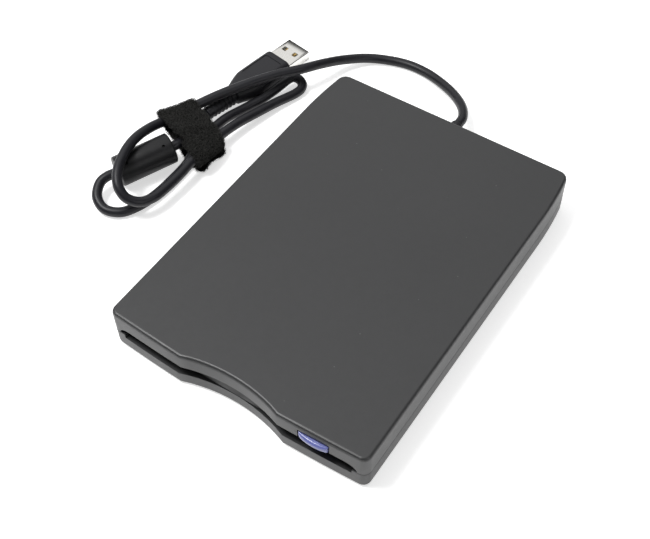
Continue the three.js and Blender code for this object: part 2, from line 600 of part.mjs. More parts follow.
function ejectButton() {
  const centreX = (button.left + button.right) / 2;
  const halfSpan = (button.right - button.left) / 2;
  const noseRootY = frontY - buttonProud + button.noseDepth;
  const outline = (inset) => {
    const nose = arcPoints([0, 0], 1, Math.PI, 2 * Math.PI, segments.round)
      .map(([x, y]) => [centreX + halfSpan * x, noseRootY + (button.noseDepth - inset) * y]);
    return [...nose, [button.right, buttonRearY], [button.left, buttonRearY]];
  };
  const body = stack(outline, button.levels.map(([rise, inset]) => [button.bottom + rise, inset]));
  const stemRearY = slideTabY + button.stemBeyondTab;
  const stem = block(button.stemLeft, button.stemRight, buttonRearY - button.stemStart, stemRearY,
    button.stemBottom, button.stemTop);
  const hole = block(slide.tabLeft - runningGap, slide.tabRight + runningGap, slideTabY - runningGap,
    slideTabY + slide.tabThickness + runningGap, button.stemBottom - overrun, button.stemTop + overrun);
  return geometryOf(cutFrom(join([body, stem]), [hole]));
}

// Pins on the disk carrier run in upright slots of the chassis and in sloped slots of the slide plate
const carrier = { ahead: 36.5, behind: 44.5, sheet: 0.6, top: 12.2, flangeBottom: 6.5, flangeWidth: 4.95,
  slotHalfWidth: 8, slotBehind: 18.5, pinRadius: 0.8, pinHeight: 9.4, pinProud: 0.5, pinAhead: 24.5,
  pinBehind: 30.5 };
carrier.outer = slide.inner - runningGap;
carrier.flangeInner = carrier.outer - carrier.flangeWidth;
carrier.pinReach = chassis.outer + carrier.pinProud;
const pinYs = [spindleY - carrier.pinAhead, spindleY + carrier.pinBehind];
const overLift = ejectOvertravel * diskDrop / ejectTravel;
const pinSlotHalf = carrier.pinRadius + runningGap;
const liftTop = carrier.pinHeight + overLift;
const liftBottom = carrier.pinHeight - diskDrop;

function driveChassis() {
  const front = spindleY - chassis.ahead;
  const rear = spindleY + chassis.behind;
  const parts = [block(-chassis.outer, chassis.outer, front, rear, chassis.underside, chassisFloorTop),
    post(board.postX, spindleY + board.postBehind, chassis.underside, board.bottom, board.postRadius,
      segments.tiny)];
  const tools = [];
  for (const side of [-1, 1]) {
    parts.push(block(...span(side, chassis.inner, chassis.outer), front, rear, chassis.underside,
      chassis.wallTop));
    for (const y of chassisScrewYs) {
      parts.push(post(side * chassis.screwX, y, chassis.underside, chassis.collarTop, chassis.collarRadius));
      tools.push(post(side * chassis.screwX, y, chassis.underside - overrun, chassis.collarTop + overrun,
        screw.holeRadius, segments.tiny));
    }
  }
  for (const y of pinYs) {
    tools.push(block(-caseWidth / 2, caseWidth / 2, y - pinSlotHalf, y + pinSlotHalf,
      liftBottom - pinSlotHalf, liftTop + pinSlotHalf));
  }
  for (const behind of [bearing.front, bearing.rear]) {
    const y = spindleY + behind;
    parts.push(block(leadScrew.x - bearing.halfWidth, leadScrew.x + bearing.halfWidth, y, y + bearing.sheet,
      chassis.underside, leadScrew.height + bearing.halfWidth));
    parts.push(block(guide.x - bearing.railHalf, guide.x + bearing.railHalf, y, y + bearing.sheet,
      chassis.underside, guide.height + bearing.railRise));
    tools.push(throughY(leadScrew.x, leadScrew.height, y, leadScrew.journalRadius + runningGap));
    tools.push(throughY(guide.x, guide.height, y, guide.radius + runningGap));
  }
  return geometryOf(cutFrom(join(parts), tools));
}

// A drill along Y through a bearing sheet
function throughY(x, z, y, radius) {
  return rod(new THREE.Vector3(x, y - overrun, z), new THREE.Vector3(x, y + bearing.sheet + overrun, z),
    radius, segments.tiny);
}

function topShield() {
  const front = spindleY - shield.ahead;
  const rear = spindleY + chassis.behind;
  const sheetTop = chassis.wallTop + shield.sheet;
  const parts = [block(-shield.outer, shield.outer, front, rear, chassis.wallTop, sheetTop)];
  for (const side of [-1, 1]) {
    parts.push(block(...span(side, shield.outer - shield.sheet, shield.outer), front, rear,
      shield.skirtBottom, sheetTop));
    const hookY = spindleY - shield.hookAhead;
    parts.push(block(...span(side, slide.hookX, slide.hookX + shield.hookWidth), hookY, hookY + shield.sheet,
      shield.hookBottom, sheetTop));
  }
  const skirtSlots = pinYs.map((y) => block(-caseWidth / 2, caseWidth / 2, y - pinSlotHalf - overrun,
    y + pinSlotHalf + overrun, shield.skirtBottom - overrun, shield.skirtBottom));
  return geometryOf(cutFrom(join(parts), skirtSlots));
}

function diskCarrier() {
  const front = spindleY - carrier.ahead;
  const rear = spindleY + carrier.behind;
  const parts = [block(-carrier.outer, carrier.outer, front, rear, carrier.top - carrier.sheet, carrier.top)];
  for (const side of [-1, 1]) {
    parts.push(block(...span(side, carrier.outer - carrier.sheet, carrier.outer), front, rear,
      carrier.flangeBottom, carrier.top));
    parts.push(block(...span(side, carrier.flangeInner, carrier.outer), front, rear, carrier.flangeBottom,
      carrier.flangeBottom + carrier.sheet));
    for (const y of pinYs) {
      parts.push(pinX(...span(side, carrier.outer - carrier.sheet, carrier.pinReach), y, carrier.pinHeight,
        carrier.pinRadius));
    }
  }
  const headSlot = block(-carrier.slotHalfWidth, carrier.slotHalfWidth, spindleY + carrier.slotBehind,
    rear + overrun, carrier.top - carrier.sheet - overrun, carrier.top + overrun);
  return geometryOf(cutFrom(join(parts), [headSlot]));
}

function slidePlate() {
  const front = spindleY - slide.ahead;
  const parts = [block(-slide.outer, slide.outer, front, spindleY - slide.stripBehind, slide.stripBottom,
    slide.stripTop),
  block(slide.tabLeft, slide.tabRight, slideTabY, slideTabY + slide.tabThickness, slide.stripBottom,
    slide.tabTop)];
  const hookY = spindleY + slide.hookBehind;
  for (const side of [-1, 1]) {
    parts.push(block(...span(side, slide.inner, slide.outer), front + slide.sheet, spindleY + slide.behind,
      slide.bottom, slide.stripTop));
    parts.push(block(...span(side, slide.hookX, slide.outer), hookY, hookY + slide.hookLength,
      slide.stripBottom, slide.stripTop));
    parts.push(block(...span(side, slide.hookX, slide.hookX + shield.hookWidth), hookY,
      hookY + slide.hookThickness, slide.stripBottom, slide.hookTop));
  }
  const slots = pinYs.map((y) => slopedSlot(y));
  return geometryOf(cutFrom(join(parts), slots));
}

// The path of a carrier pin as the slide plate sees it, widened by the pin and its clearance
function slopedSlot(y) {
  const from = [y - ejectOvertravel, carrier.pinHeight + overLift];
  const to = [y + ejectTravel, carrier.pinHeight - diskDrop];
  const slope = Math.atan2(to[1] - from[1], to[0] - from[0]);
  const outline = [...arcPoints(from, slide.slotHalf, slope + Math.PI / 2, slope + 3 * Math.PI / 2,
    segments.arc), ...arcPoints(to, slide.slotHalf, slope - Math.PI / 2, slope + Math.PI / 2, segments.arc)];
  return sidePlate(outline, -caseWidth / 2, caseWidth / 2);
}

function latchLever() {
  const pivot = [latch.pivotX, spindleY + latch.pivotBehind];
  const tip = [latch.tipX, spindleY + latch.tipBehind];
  const tail = [latch.tailX, spindleY + latch.tailBehind];
  const arm = (from, to, r0, r1) => {
    const turn = Math.atan2(to[1] - from[1], to[0] - from[0]);
    return plate([...arcPoints(from, r0, turn + Math.PI / 2, turn + 3 * Math.PI / 2, segments.arc),
      ...arcPoints(to, r1, turn - Math.PI / 2, turn + Math.PI / 2, segments.arc)],
    latch.bottom, latch.bottom + latch.sheet);
  };
  const hole = post(...pivot, latch.bottom - overrun, latch.bottom + latch.sheet + overrun,
    latch.neckRadius + runningGap, segments.tiny);
  const body = join([arm(pivot, tip, latch.bossRadius, latch.tipRadius),
    arm(pivot, tail, latch.bossRadius, latch.tipRadius)]);
  return geometryOf(cutFrom(body, [hole]));
}

function latchPivot() {
  const shoulder = latch.bottom - latch.play;
  const headBottom = latch.bottom + latch.sheet + latch.play;
  const headTop = headBottom + latch.headHeight;
  return turned([[0, chassisFloorTop], [latch.shoulderRadius, chassisFloorTop],
    [latch.shoulderRadius, shoulder], [latch.neckRadius, shoulder], [latch.neckRadius, headBottom],
    [latch.headRadius, headBottom], [latch.headRadius, headTop], [0, headTop]], segments.tiny)
    .translate(latch.pivotX, spindleY + latch.pivotBehind, 0);
}

// The motor that turns the disk
function spindleMotorBoard() {
  const sheet = block(-motor.boardHalfWidth, motor.boardHalfWidth, spindleY - motor.boardAhead,
    spindleY + motor.boardBehind, chassisFloorTop, motor.boardTop);
  return geometryOf(cutFrom(solidOf(sheet), [
    block(-motor.notchHalfWidth, motor.notchHalfWidth, spindleY + motor.notchBehind,
      spindleY + motor.boardBehind + overrun, chassisFloorTop - overrun, motor.boardTop + overrun),
    post(0, spindleY, chassisFloorTop - overrun, motor.boardTop + overrun, motor.neckRadius + runningGap)]));
}

function spindleBearing() {
  return turned([[motor.boreRadius, chassisFloorTop], [motor.neckRadius, chassisFloorTop],
    [motor.neckRadius, motor.boardTop], [motor.bearingRadius, motor.boardTop],
    [motor.bearingRadius, motor.bearingTop], [motor.boreRadius, motor.bearingTop]]).translate(0, spindleY, 0);
}

function statorCore() {
  const steps = motor.teeth * segments.perTooth;
  const edge = [[motor.toothRoot, motor.rootShare], [motor.toothNeck, motor.neckShare],
    [motor.toothShoulder, motor.shoulderShare], [motor.toothTip, motor.tipShare]];
  const outline = [];
  for (let tooth = 0; tooth < motor.teeth; tooth++) {
    const middle = 2 * Math.PI * tooth / motor.teeth;
    for (const [radius, share] of [...edge, ...edge.map(([r, s]) => [r, -s]).reverse()]) {
      const angle = middle - share * Math.PI / motor.teeth;
      outline.push([radius * Math.cos(angle), radius * Math.sin(angle)]);
    }
  }
  const star = plate(outline, motor.toothBottom, motor.toothTop);
  const ring = post(0, 0, motor.boardTop, motor.toothTop, motor.coreRadius, steps);
  const bore = post(0, 0, motor.boardTop - overrun, motor.toothTop + overrun, motor.coreBore, segments.round);
  return geometryOf(cutFrom(join([star, ring]), [bore])).translate(0, spindleY, 0);
}

function rotorDisc() {
  return turned([[0, motor.shaftBottom], [motor.shaftRadius, motor.shaftBottom],
    [motor.shaftRadius, motor.discBottom], [motor.skirtInner, motor.discBottom],
    [motor.skirtInner, motor.skirtBottom], [motor.discRadius, motor.skirtBottom],
    [motor.discRadius, motor.discTop], [motor.hubRadius, motor.discTop], [motor.hubRadius, motor.hubTop],
    [motor.shaftRadius, motor.hubTop], [motor.shaftRadius, motor.shaftTop],
    [0, motor.shaftTop]], segments.fine).translate(0, spindleY, 0);
}

function rotorMagnet() {
  return turned([[motor.magnetInner, motor.skirtBottom], [motor.magnetOuter, motor.skirtBottom],
    [motor.magnetOuter, motor.discBottom], [motor.magnetInner, motor.discBottom]], segments.fine)
    .translate(0, spindleY, 0);
}

// The lead screw, a round rod whose skin rises and falls along one helix
function leadScrewRod() {
  const from = spindleY + leadScrew.threadFrom;
  const to = spindleY + leadScrew.threadTo;
  const steps = Math.round((to - from) / leadScrewLead * segments.screw);
  const ring = (y, radiusAt) => {
    const points = [];
    for (let i = 0; i < segments.tiny; i++) {
      const angle = 2 * Math.PI * i / segments.tiny;
      const radius = radiusAt(angle);
      points.push(new THREE.Vector3(radius * Math.cos(angle), y, radius * Math.sin(angle)));
    }
    return points;
  };
  const plain = () => leadScrew.journalRadius;
  const rings = [ring(spindleY + leadScrew.tipBehind, plain), ring(from, plain)];
  for (let i = 0; i <= steps; i++) {
    const y = from + (to - from) * i / steps;
    rings.push(ring(y, (angle) => {
      const phase = angle - 2 * Math.PI * (y - followerY) / leadScrewLead;
      return leadScrew.meanRadius - leadScrew.grooveHalf * Math.cos(phase);
    }));
  }
  rings.push(ring(to, plain), ring(spindleY + stepper.front, plain));
  return loft(rings).translate(leadScrew.x, 0, leadScrew.height);
}

function stepperMotor() {
  const y0 = spindleY + stepper.front + stepper.gap;
  const y1 = y0 + stepper.length;
  const body = rod(new THREE.Vector3(leadScrew.x, y0, leadScrew.height),
    new THREE.Vector3(leadScrew.x, y1, leadScrew.height), stepper.radius, segments.round);
  const foot = block(leadScrew.x - stepper.footHalf, leadScrew.x + stepper.footHalf, y0, y1, chassisFloorTop,
    leadScrew.height);
  return geometryOf(join([body, foot]));
}

function guideRod() {
  const rear = spindleY + bearing.rear + bearing.sheet + guide.proud;
  return rod(new THREE.Vector3(guide.x, spindleY + bearing.front, guide.height),
    new THREE.Vector3(guide.x, rear, guide.height), guide.radius, segments.tiny);
}

function headCarriage() {
  const blockFront = spindleY + carriage.blockFront;
  const blockRear = spindleY + carriage.blockRear;
  const body = join([
    block(-carriage.noseHalf, carriage.noseHalf, headY - carriage.noseAhead, blockRear, carriage.bottom,
      carriage.noseTop),
    block(carriage.left, carriage.right, blockFront, blockRear, carriage.bottom, carriage.blockTop),
    block(-carriage.postHalf, carriage.postHalf, blockFront, blockRear, carriage.bottom, carriage.postTop),
    block(-carriage.postHalf, carriage.postHalf, blockRear - carriage.bossDepth, blockRear, carriage.bottom,
      carriage.bossTop),
    block(leadScrew.x + leadScrew.followerAt, carriage.left + overrun, followerY - leadScrew.followerHalf,
      followerY + leadScrew.followerHalf, leadScrew.height - leadScrew.followerHalf,
      leadScrew.height + leadScrew.followerHalf)]);
  return geometryOf(cutFrom(body, [
    rod(new THREE.Vector3(guide.x, blockFront - overrun, guide.height),
      new THREE.Vector3(guide.x, blockRear + overrun, guide.height), guide.radius + runningGap,
      segments.tiny),
    pinX(-carriage.postHalf - overrun, carriage.postHalf + overrun, armHingeY, arm.hingeHeight,
      arm.knuckleRadius + runningGap, segments.small)]));
}

function upperHeadArm() {
  const front = headY - arm.ahead;
  const body = join([
    block(-arm.halfWidth, arm.halfWidth, front, armHingeY + arm.behind, arm.bottom, arm.top),
    pinX(-arm.knuckleHalf, arm.knuckleHalf, armHingeY, arm.hingeHeight, arm.knuckleRadius, segments.small)]);
  return geometryOf(body);
}

function headPad(bottom, top) {
  return block(-head.halfWidth, head.halfWidth, headY - head.halfLength, headY + head.halfLength, bottom,
    top);
}

function headArmSpring() {
  const rear = spindleY + carriage.blockRear;
  const front = armHingeY - leaf.reach;
  return geometryOf(join([
    block(-leaf.halfWidth, leaf.halfWidth, front, rear, carriage.bossTop, carriage.bossTop + leaf.sheet),
    post(0, front + leaf.dimpleRadius + leaf.sheet, arm.top + leaf.touch, carriage.bossTop + leaf.sheet,
      leaf.dimpleRadius, segments.tiny)]));
}

function senseSwitch(side) {
  const y = spindleY - sense.ahead;
  const body = block(side * sense.x - sense.halfWidth, side * sense.x + sense.halfWidth, y - sense.halfLength,
    y + sense.halfLength, chassisFloorTop, sense.bodyTop);
  const bore = post(side * sense.x, y, chassisFloorTop + sense.base, sense.bodyTop + overrun,
    sense.plungerRadius + runningGap, segments.tiny);
  return geometryOf(cutFrom(solidOf(body), [bore]));
}

function sensePlunger(side) {
  return post(side * sense.x, spindleY - sense.ahead, sense.plungerBottom, sense.plungerTop,
    sense.plungerRadius, segments.tiny);
}

function controlBoard() {
  return block(board.left, board.right, spindleY + board.front, spindleY + board.rear, board.bottom,
    board.top);
}

function controllerChip() {
  const x = (board.left + board.right) / 2;
  const y = spindleY + (board.front + board.rear) / 2;
  return block(x - board.chipHalf, x + board.chipHalf, y - board.chipHalf, y + board.chipHalf, board.top,
    board.top + board.chipHeight);
}

function usbBoard() {
  return block(exitX - usb.boardHalfWidth, exitX + usb.boardHalfWidth, usbBoardRearY - usb.boardLength,
    usbBoardRearY, usb.boardBottom, usb.boardTop);
}

function cordConnector() {
  const rear = usbBoardRearY - usb.boxRearIn;
  return block(exitX - usb.boxHalfWidth, exitX + usb.boxHalfWidth, rear - usb.boxLength, rear, usb.boardTop,
    usb.boardTop + usb.boxHeight);
}

function strainRelief() {
  const inner = -wall - gland.seat;
  const start = gland.seat;
  const profile = [[0, inner - gland.flangeThickness], [gland.flangeRadius, inner - gland.flangeThickness],
    [gland.flangeRadius, inner], [gland.neckRadius, inner], [gland.neckRadius, start],
    [gland.collarRadius, start]];
  const pitch = (gland.reach - start) / (2 * gland.ribs);
  for (let i = 0; i < gland.ribs; i++) {
    const share = (i + 1) / gland.ribs;
    const radius = gland.collarRadius + (gland.tipRadius - gland.collarRadius) * share;
    const y = start + pitch * (2 * i + 1);
    profile.push([radius, y], [radius - gland.ribDepth, y], [radius - gland.ribDepth, y + pitch],
      [radius, y + pitch]);
  }
  profile.splice(-2, 2, [gland.tipRadius - gland.ribDepth, gland.reach], [0, gland.reach]);
  return outward(turned(profile, segments.small).rotateX(-Math.PI / 2)).translate(exitX, rearY, exitHeight);
}

// The lead as one curve, measured from the rear face, from the relief through the hank to the choke
const leadPoints = [
  [-1.2, 8.25, 8.6], [-1.5, 12.25, 8.4], [-5, 18.75, 7], [-12.5, 25.75, 4.8], [-22, 31.05, 3],
  [-31, 33.75, 2.2], [-39.5, 33.95, 2.05], [-48, 31.75, 2.1], [-56, 27.15, 2.8], [-62.6, 18.35, 5.2],
  [-66.6, 8.25, 8.6], [-70.7, -1.15, 10.6]];
const hankPoints = [
  [-76.3, -9.05, 11.2], [-81.8, -17.55, 11.2], [-86.4, -25.25, 10.8], [-90.6, -32.65, 10.2],
  [-94, -39.65, 9.6], [-96.8, -46.85, 9.3], [-98.9, -54.85, 10.2], [-99.8, -63.35, 12.6],
  [-99.2, -72.55, 14.9], [-96.8, -81.85, 16], [-93.6, -89.65, 15.1], [-89.8, -94.25, 13],
  [-85.6, -95.45, 10.2], [-81.6, -93.05, 8], [-79.2, -87.85, 7], [-78.4, -80.25, 6.8],
  [-78.2, -72.25, 7], [-78.4, -64.25, 7.5], [-78.4, -55.25, 7], [-78.7, -46.25, 5.8],
  [-77.7, -36.85, 4.9], [-75.4, -26.45, 3.8], [-72.9, -16.65, 2.9], [-71.1, -11.25, 2.4],
  [-69.7, -6.95, 2.15], [-69.25, -3.75, 2.25], [-70.1, -1.45, 2.8], [-72.3, -0.5, 3.6],
  [-74.5, -1.45, 4.4], [-75.4, -3.8, 4.75], [-75.9, -7.3, 4.7], [-77, -11.95, 4], [-79, -18.25, 3], [-82.2, -26.85, 2.5], [-84.2, -36.25, 3.6],
  [-84.6, -45.85, 4], [-83.8, -54.75, 4.3], [-82.5, -64.25, 2.3], [-82.2, -74.25, 2.1],
  [-82.6, -82.75, 2.05], [-84.4, -90.85, 2.05], [-88.2, -97.45, 2.1], [-94, -99.85, 2.6], [-99.4, -97.65, 4],
  [-102.2, -92.25, 5.6], [-101.6, -88.85, 6.3]];
const plugLeadPoints = [[-88, -59.75, 8], [-88.2, -54.25, 6.6], [-89.8, -47.75, 5]];
const chokeFrom = fromRear(choke.from);
const chokeTo = fromRear(choke.to);
const plugFront = fromRear(plug.front);
const plugAxis = new THREE.Vector3(...plug.lean).normalize();

function fromRear([x, y, z]) {
  return new THREE.Vector3(x, rearY + y, z);
}

// A stretch of a longer curve, between two distances along it
class Stretch extends THREE.Curve {
  constructor(whole, from, to) {
    super();
    this.whole = whole;
    this.from = from / whole.getLength();
    this.to = to / whole.getLength();
  }

  getPoint(t) {
    return this.whole.getPointAt(this.from + (this.to - this.from) * t);
  }
}

function curveThrough(points) {
  const curve = new THREE.CatmullRomCurve3(points, false, 'centripetal');
  curve.arcLengthDivisions = segments.curve;
  return curve;
}

const chokeAxis = chokeTo.clone().sub(chokeFrom).normalize();
const wholeLead = curveThrough([...leadPoints.map(fromRear), ...hankPoints.map(fromRear),
  chokeFrom.clone().addScaledVector(chokeAxis, -fitGap)]);
const hankStart = lengthTo(wholeLead, fromRear(leadPoints[leadPoints.length - 1]));
const reliefEnd = plugFront.clone().addScaledVector(plugAxis, -plug.reliefEnd - fitGap);
const leadRun = reliefEnd.clone().addScaledVector(plugAxis, -plug.straightRun);
const plugLeadCurve = curveThrough([chokeTo.clone().addScaledVector(chokeAxis, fitGap),
  ...plugLeadPoints.map(fromRear), leadRun, reliefEnd]);

// How far along a curve a point on it lies
function lengthTo(curve, point) {
  const lengths = curve.getLengths();
  const steps = lengths.length - 1;
  let best = 0;
  for (let i = 0; i <= steps; i++) {
    if (curve.getPoint(i / steps).distanceTo(point) < curve.getPoint(best / steps).distanceTo(point)) {
      best = i;
    }
  }
  return lengths[best];
}

// The least gap that a wound lead leaves to itself, face to face
function leastGap(curve) {
  const points = curve.getSpacedPoints(segments.curve);
  const step = curve.getLength() / segments.curve;
  const skip = Math.ceil(cordDiameter * cordLook / step);
  let least = Infinity;
  for (let i = 0; i < points.length; i++) {
    for (let k = i + skip; k < points.length; k++) {
      least = Math.min(least, points[i].distanceTo(points[k]));
    }
  }
  return least - cordDiameter;
}

function cordTube(curve, stepLength) {
  return along(curve, cordDiameter / 2, Math.ceil(curve.getLength() / stepLength), segments.cord);
}

function ferriteChoke() {
  const length = chokeTo.distanceTo(chokeFrom);
  const edge = choke.edge;
  const geometry = turned([[0, 0], [choke.radius - edge, 0], [choke.radius, edge], [choke.radius,
    length - edge], [choke.radius - edge, length], [0, length]]);
  const turn = new THREE.Quaternion().setFromUnitVectors(new THREE.Vector3(0, 0, 1), chokeAxis);
  return geometry.applyQuaternion(turn).translate(chokeFrom.x, chokeFrom.y, chokeFrom.z);
}

// The strap that holds the hank, a band drawn tight round every strand that crosses it
const tieAxis = new THREE.Vector3(tie.leanX, tie.leanY, 0).normalize();
const tieSide = new THREE.Vector3(tieAxis.y, -tieAxis.x, 0);
const tieMiddle = fromRear(tie.middle);

// Where the strands cross one section of the strap: across, up, and how far each is drawn out both ways
function strandsAt(offset) {
  const crossings = [];
  for (const curve of [wholeLead, plugLeadCurve]) {
    const points = curve.getSpacedPoints(segments.curve).map((point) => point.sub(tieMiddle));
    for (let i = 1; i < points.length; i++) {
      const [before, after] = [points[i - 1].dot(tieAxis) - offset, points[i].dot(tieAxis) - offset];
      const across = points[i].dot(tieSide);
      if (before * after < 0 && Math.abs(across) < tie.look) {
        const step = points[i].clone().sub(points[i - 1]);
        const run = step.dot(tieAxis);
        crossings.push([across, points[i].z + tieMiddle.z, Math.hypot(1, step.dot(tieSide) / run),
          Math.hypot(1, step.z / run)]);
      }
    }
  }
  return crossings;
}

// Outline of the smallest band round the strands, standing off them by a distance, as evenly spread points
function bandOutline(crossings, standOff) {
  const radius = cordDiameter / 2;
  const rim = crossings.flatMap(([x, z, wide, tall]) => arcPoints([0, 0], 1, 0, 2 * Math.PI, segments.round)
    .map(([across, up]) => [x + across * (radius * wide + standOff), z + up * (radius * tall + standOff)]));
  const middle = [0, 1].map((k) => crossings.reduce((sum, centre) => sum + centre[k], 0) / crossings.length);
  const points = [];
  for (let i = 0; i < segments.band; i++) {
    const angle = 2 * Math.PI * i / segments.band;
    points.push(reachOf(rim, middle, angle));
  }
  return points;
}

// How far a hull round some points reaches from the middle in one direction
function reachOf(rim, middle, angle) {
  const towards = [Math.cos(angle), Math.sin(angle)];
  const turnedPoints = rim.map(([x, y]) => {
    const [dx, dy] = [x - middle[0], y - middle[1]];
    return [dx * towards[0] + dy * towards[1], -dx * towards[1] + dy * towards[0]];
  });
  let reach = Infinity;
  for (let i = 0; i < segments.band; i++) {
    const lean = Math.PI * (i / segments.band - 1 / 2) * tie.leanShare;
    const support = Math.max(...turnedPoints.map(([x, y]) => x * Math.cos(lean) + y * Math.sin(lean)));
    reach = Math.min(reach, support / Math.cos(lean));
  }
  return [middle[0] + towards[0] * reach, middle[1] + towards[1] * reach];
}

function cableTie() {
  const rings = (standOff, extra) => {
    const list = [];
    for (let i = 0; i <= tie.sections; i++) {
      const offset = (i / tie.sections - 1 / 2) * tie.length;
      const end = i === 0 ? -extra : i === tie.sections ? extra : 0;
      list.push(bandOutline(strandsAt(offset), standOff).map(([across, height]) =>
        tieMiddle.clone().addScaledVector(tieAxis, offset + end).addScaledVector(tieSide, across)
          .setZ(height)));
    }
    return loft(list);
  };
  return geometryOf(cutFrom(solidOf(rings(tie.slack + fitGap + tie.band, 0)), [rings(tie.slack + fitGap,
    overrun)]));
}

// Ring of a rounded rectangle across the plug, at a distance behind its front
function plugRing(behind, halfWidth, halfHeight, radius) {
  const points = [];
  const corners = [[1, 1], [-1, 1], [-1, -1], [1, -1]];
  corners.forEach(([sx, sz], quarter) => {
    const centre = [sx * (halfWidth - radius), sz * (halfHeight - radius)];
    const from = quarter * Math.PI / 2;
    for (const [x, z] of arcPoints(centre, radius, from, from + Math.PI / 2, segments.corner)) {
      points.push(new THREE.Vector3(x, -behind, z));
    }
  });
  return points;
}

function plugOvermould() {
  const grip = loft(plug.sections.map(([behind, halfWidth, halfHeight, radius]) =>
    plugRing(behind, halfWidth, halfHeight, radius)));
  const profile = [[0, plug.reliefStart], [plug.reliefRadius, plug.reliefStart]];
  const pitch = (plug.reliefEnd - plug.reliefFrom) / (2 * plug.ribs);
  for (let i = 0; i < plug.ribs; i++) {
    const radius = plug.reliefRadius + (plug.reliefTip - plug.reliefRadius) * i / plug.ribs;
    const y = plug.reliefFrom + 2 * pitch * i;
    profile.push([radius, y], [radius, y + pitch], [radius - plug.ribDepth, y + pitch],
      [radius - plug.ribDepth, y + 2 * pitch]);
  }
  profile.push([0, plug.reliefEnd]);
  const relief = outward(turned(profile, segments.small).rotateX(Math.PI / 2));
  const pocket = block(-shell.halfWidth - fitGap, shell.halfWidth + fitGap, -shell.inside - fitGap, overrun,
    -shell.halfHeight - fitGap, shell.halfHeight + fitGap);
  const panel = block(-plug.panelHalf, plug.panelHalf, -plug.panelTo, -plug.panelFrom,
    plug.halfHeight - plug.panelDepth, plug.halfHeight + overrun);
  return geometryOf(cutFrom(join([grip, relief]), [pocket, panel]));
}

function usbShell() {
  const innerX = shell.halfWidth - shell.sheet;
  const innerZ = shell.halfHeight - shell.sheet;
  const tools = [block(-innerX, innerX, -shell.inside - overrun, shell.length + overrun, -innerZ, innerZ)];
  for (const side of [-1, 1]) {
    const near = side * shell.holeX;
    tools.push(block(near - shell.holeHalf, near + shell.holeHalf, shell.holeY - shell.holeHalf,
      shell.holeY + shell.holeHalf, -shell.halfHeight - overrun, shell.halfHeight + overrun));
  }
  const tube = block(-shell.halfWidth, shell.halfWidth, -shell.inside, shell.length, -shell.halfHeight,
    shell.halfHeight);
  return geometryOf(cutFrom(solidOf(tube), tools));
}

function contactTongue() {
  const innerZ = shell.halfHeight - shell.sheet;
  return block(-shell.halfWidth + shell.sheet + fitGap, shell.halfWidth - shell.sheet - fitGap, -shell.inside,
    shell.length - shell.tongueBack, -innerZ + fitGap, shell.tongueTop);
}

const screwNames = ['front', 'rear'];
const sideNames = { '-1': 'left', 1: 'right' };

place('top_cover', topCover(), 'shell');
place('bottom_cover', bottomCover(), 'shell');
place('slot_door', slotDoor(), 'door');
place('door_hinge_pin', pinX(-bay.halfWidth - door.earThickness, bay.halfWidth + door.earThickness, hingeY,
  door.hingeHeight, door.pinRadius), 'steel');
place('door_spring', winding(new THREE.Vector3(-door.springTo + door.springGap, hingeY, door.hingeHeight),
  'x', doorSpring), 'steel');
place('eject_button', ejectButton(), 'button');
place('strain_relief', strainRelief(), 'rubber');
for (const side of [-1, 1]) {
  const sideName = sideNames[side];
  footYs.forEach((y, i) => {
    place(`foot_${screwNames[i]}_${sideName}`, rubberFoot().translate(side * foot.x, y, 0), 'rubber');
  });
  chassisScrewYs.forEach((y, i) => {
    place(`chassis_screw_${screwNames[i]}_${sideName}`,
      floorScrew(side * chassis.screwX, y, floorZ + screw.seatRise, chassis.collarTop), 'steel');
  });
  place(`case_screw_${sideName}`, floorScrew(side * caseScrew.x, caseScrewY, caseScrew.sinkTop,
    caseScrew.reach), 'steel');
  place(`slide_spring_${sideName}`, winding(new THREE.Vector3(side * (slide.hookX + shield.hookWidth / 2),
    spindleY - shield.hookAhead + shield.sheet + fitGap, slideSpring.height), 'y', slideSpring), 'steel');
  place(`sense_switch_${sideName}`, senseSwitch(side), 'chip');
  place(`sense_plunger_${sideName}`, sensePlunger(side), 'white');
}
place('drive_chassis', driveChassis(), 'steel');
place('top_shield', topShield(), 'plated');
place('disk_carrier', diskCarrier(), 'plated');
place('slide_plate', slidePlate(), 'steel');
place('latch_lever', latchLever(), 'white');
place('latch_pivot', latchPivot(), 'steel');
place('latch_spring', winding(new THREE.Vector3(latch.pivotX, spindleY + latch.pivotBehind,
  chassisFloorTop + latchSpring.rise), 'z', latchSpring), 'steel');
place('spindle_motor_board', spindleMotorBoard(), 'board');
place('spindle_bearing', spindleBearing(), 'brass');
place('stator_core', statorCore(), 'copper');
place('rotor', rotorDisc(), 'plated');
place('rotor_magnet', rotorMagnet(), 'magnet');
place('drive_pin', post(motor.drivePinAt, spindleY, motor.discTop, motor.drivePinTop, motor.drivePinRadius,
  segments.tiny), 'steel');
place('stepper_motor', stepperMotor(), 'steel');
place('lead_screw', leadScrewRod(), 'steel');
place('guide_rod', guideRod(), 'steel');
place('head_carriage', headCarriage(), 'chip');
place('lower_head', headPad(carriage.noseTop, head.mediaHeight), 'white');
place('upper_head_arm', upperHeadArm(), 'steel');
place('upper_head', headPad(head.upperBottom, arm.bottom), 'white');
place('head_arm_spring', headArmSpring(), 'brass');
place('control_board', controlBoard(), 'board');
place('controller_chip', controllerChip(), 'chip');
place('usb_board', usbBoard(), 'board');
place('cord_connector', cordConnector(), 'white');

const wound = new Stretch(wholeLead, hankStart + fitGap / 2, wholeLead.getLength());
place('cord_lead', cordTube(new Stretch(wholeLead, 0, hankStart - fitGap / 2), cordSteps.free), 'cord',
  object);
place('cord_hank', cordTube(wound, cordSteps.wound), 'cord', object);
place('cord_plug_lead', cordTube(plugLeadCurve, cordSteps.free), 'cord', object);
place('ferrite_choke', ferriteChoke(), 'rubber', object);
place('cable_tie', cableTie(), 'hook', object);

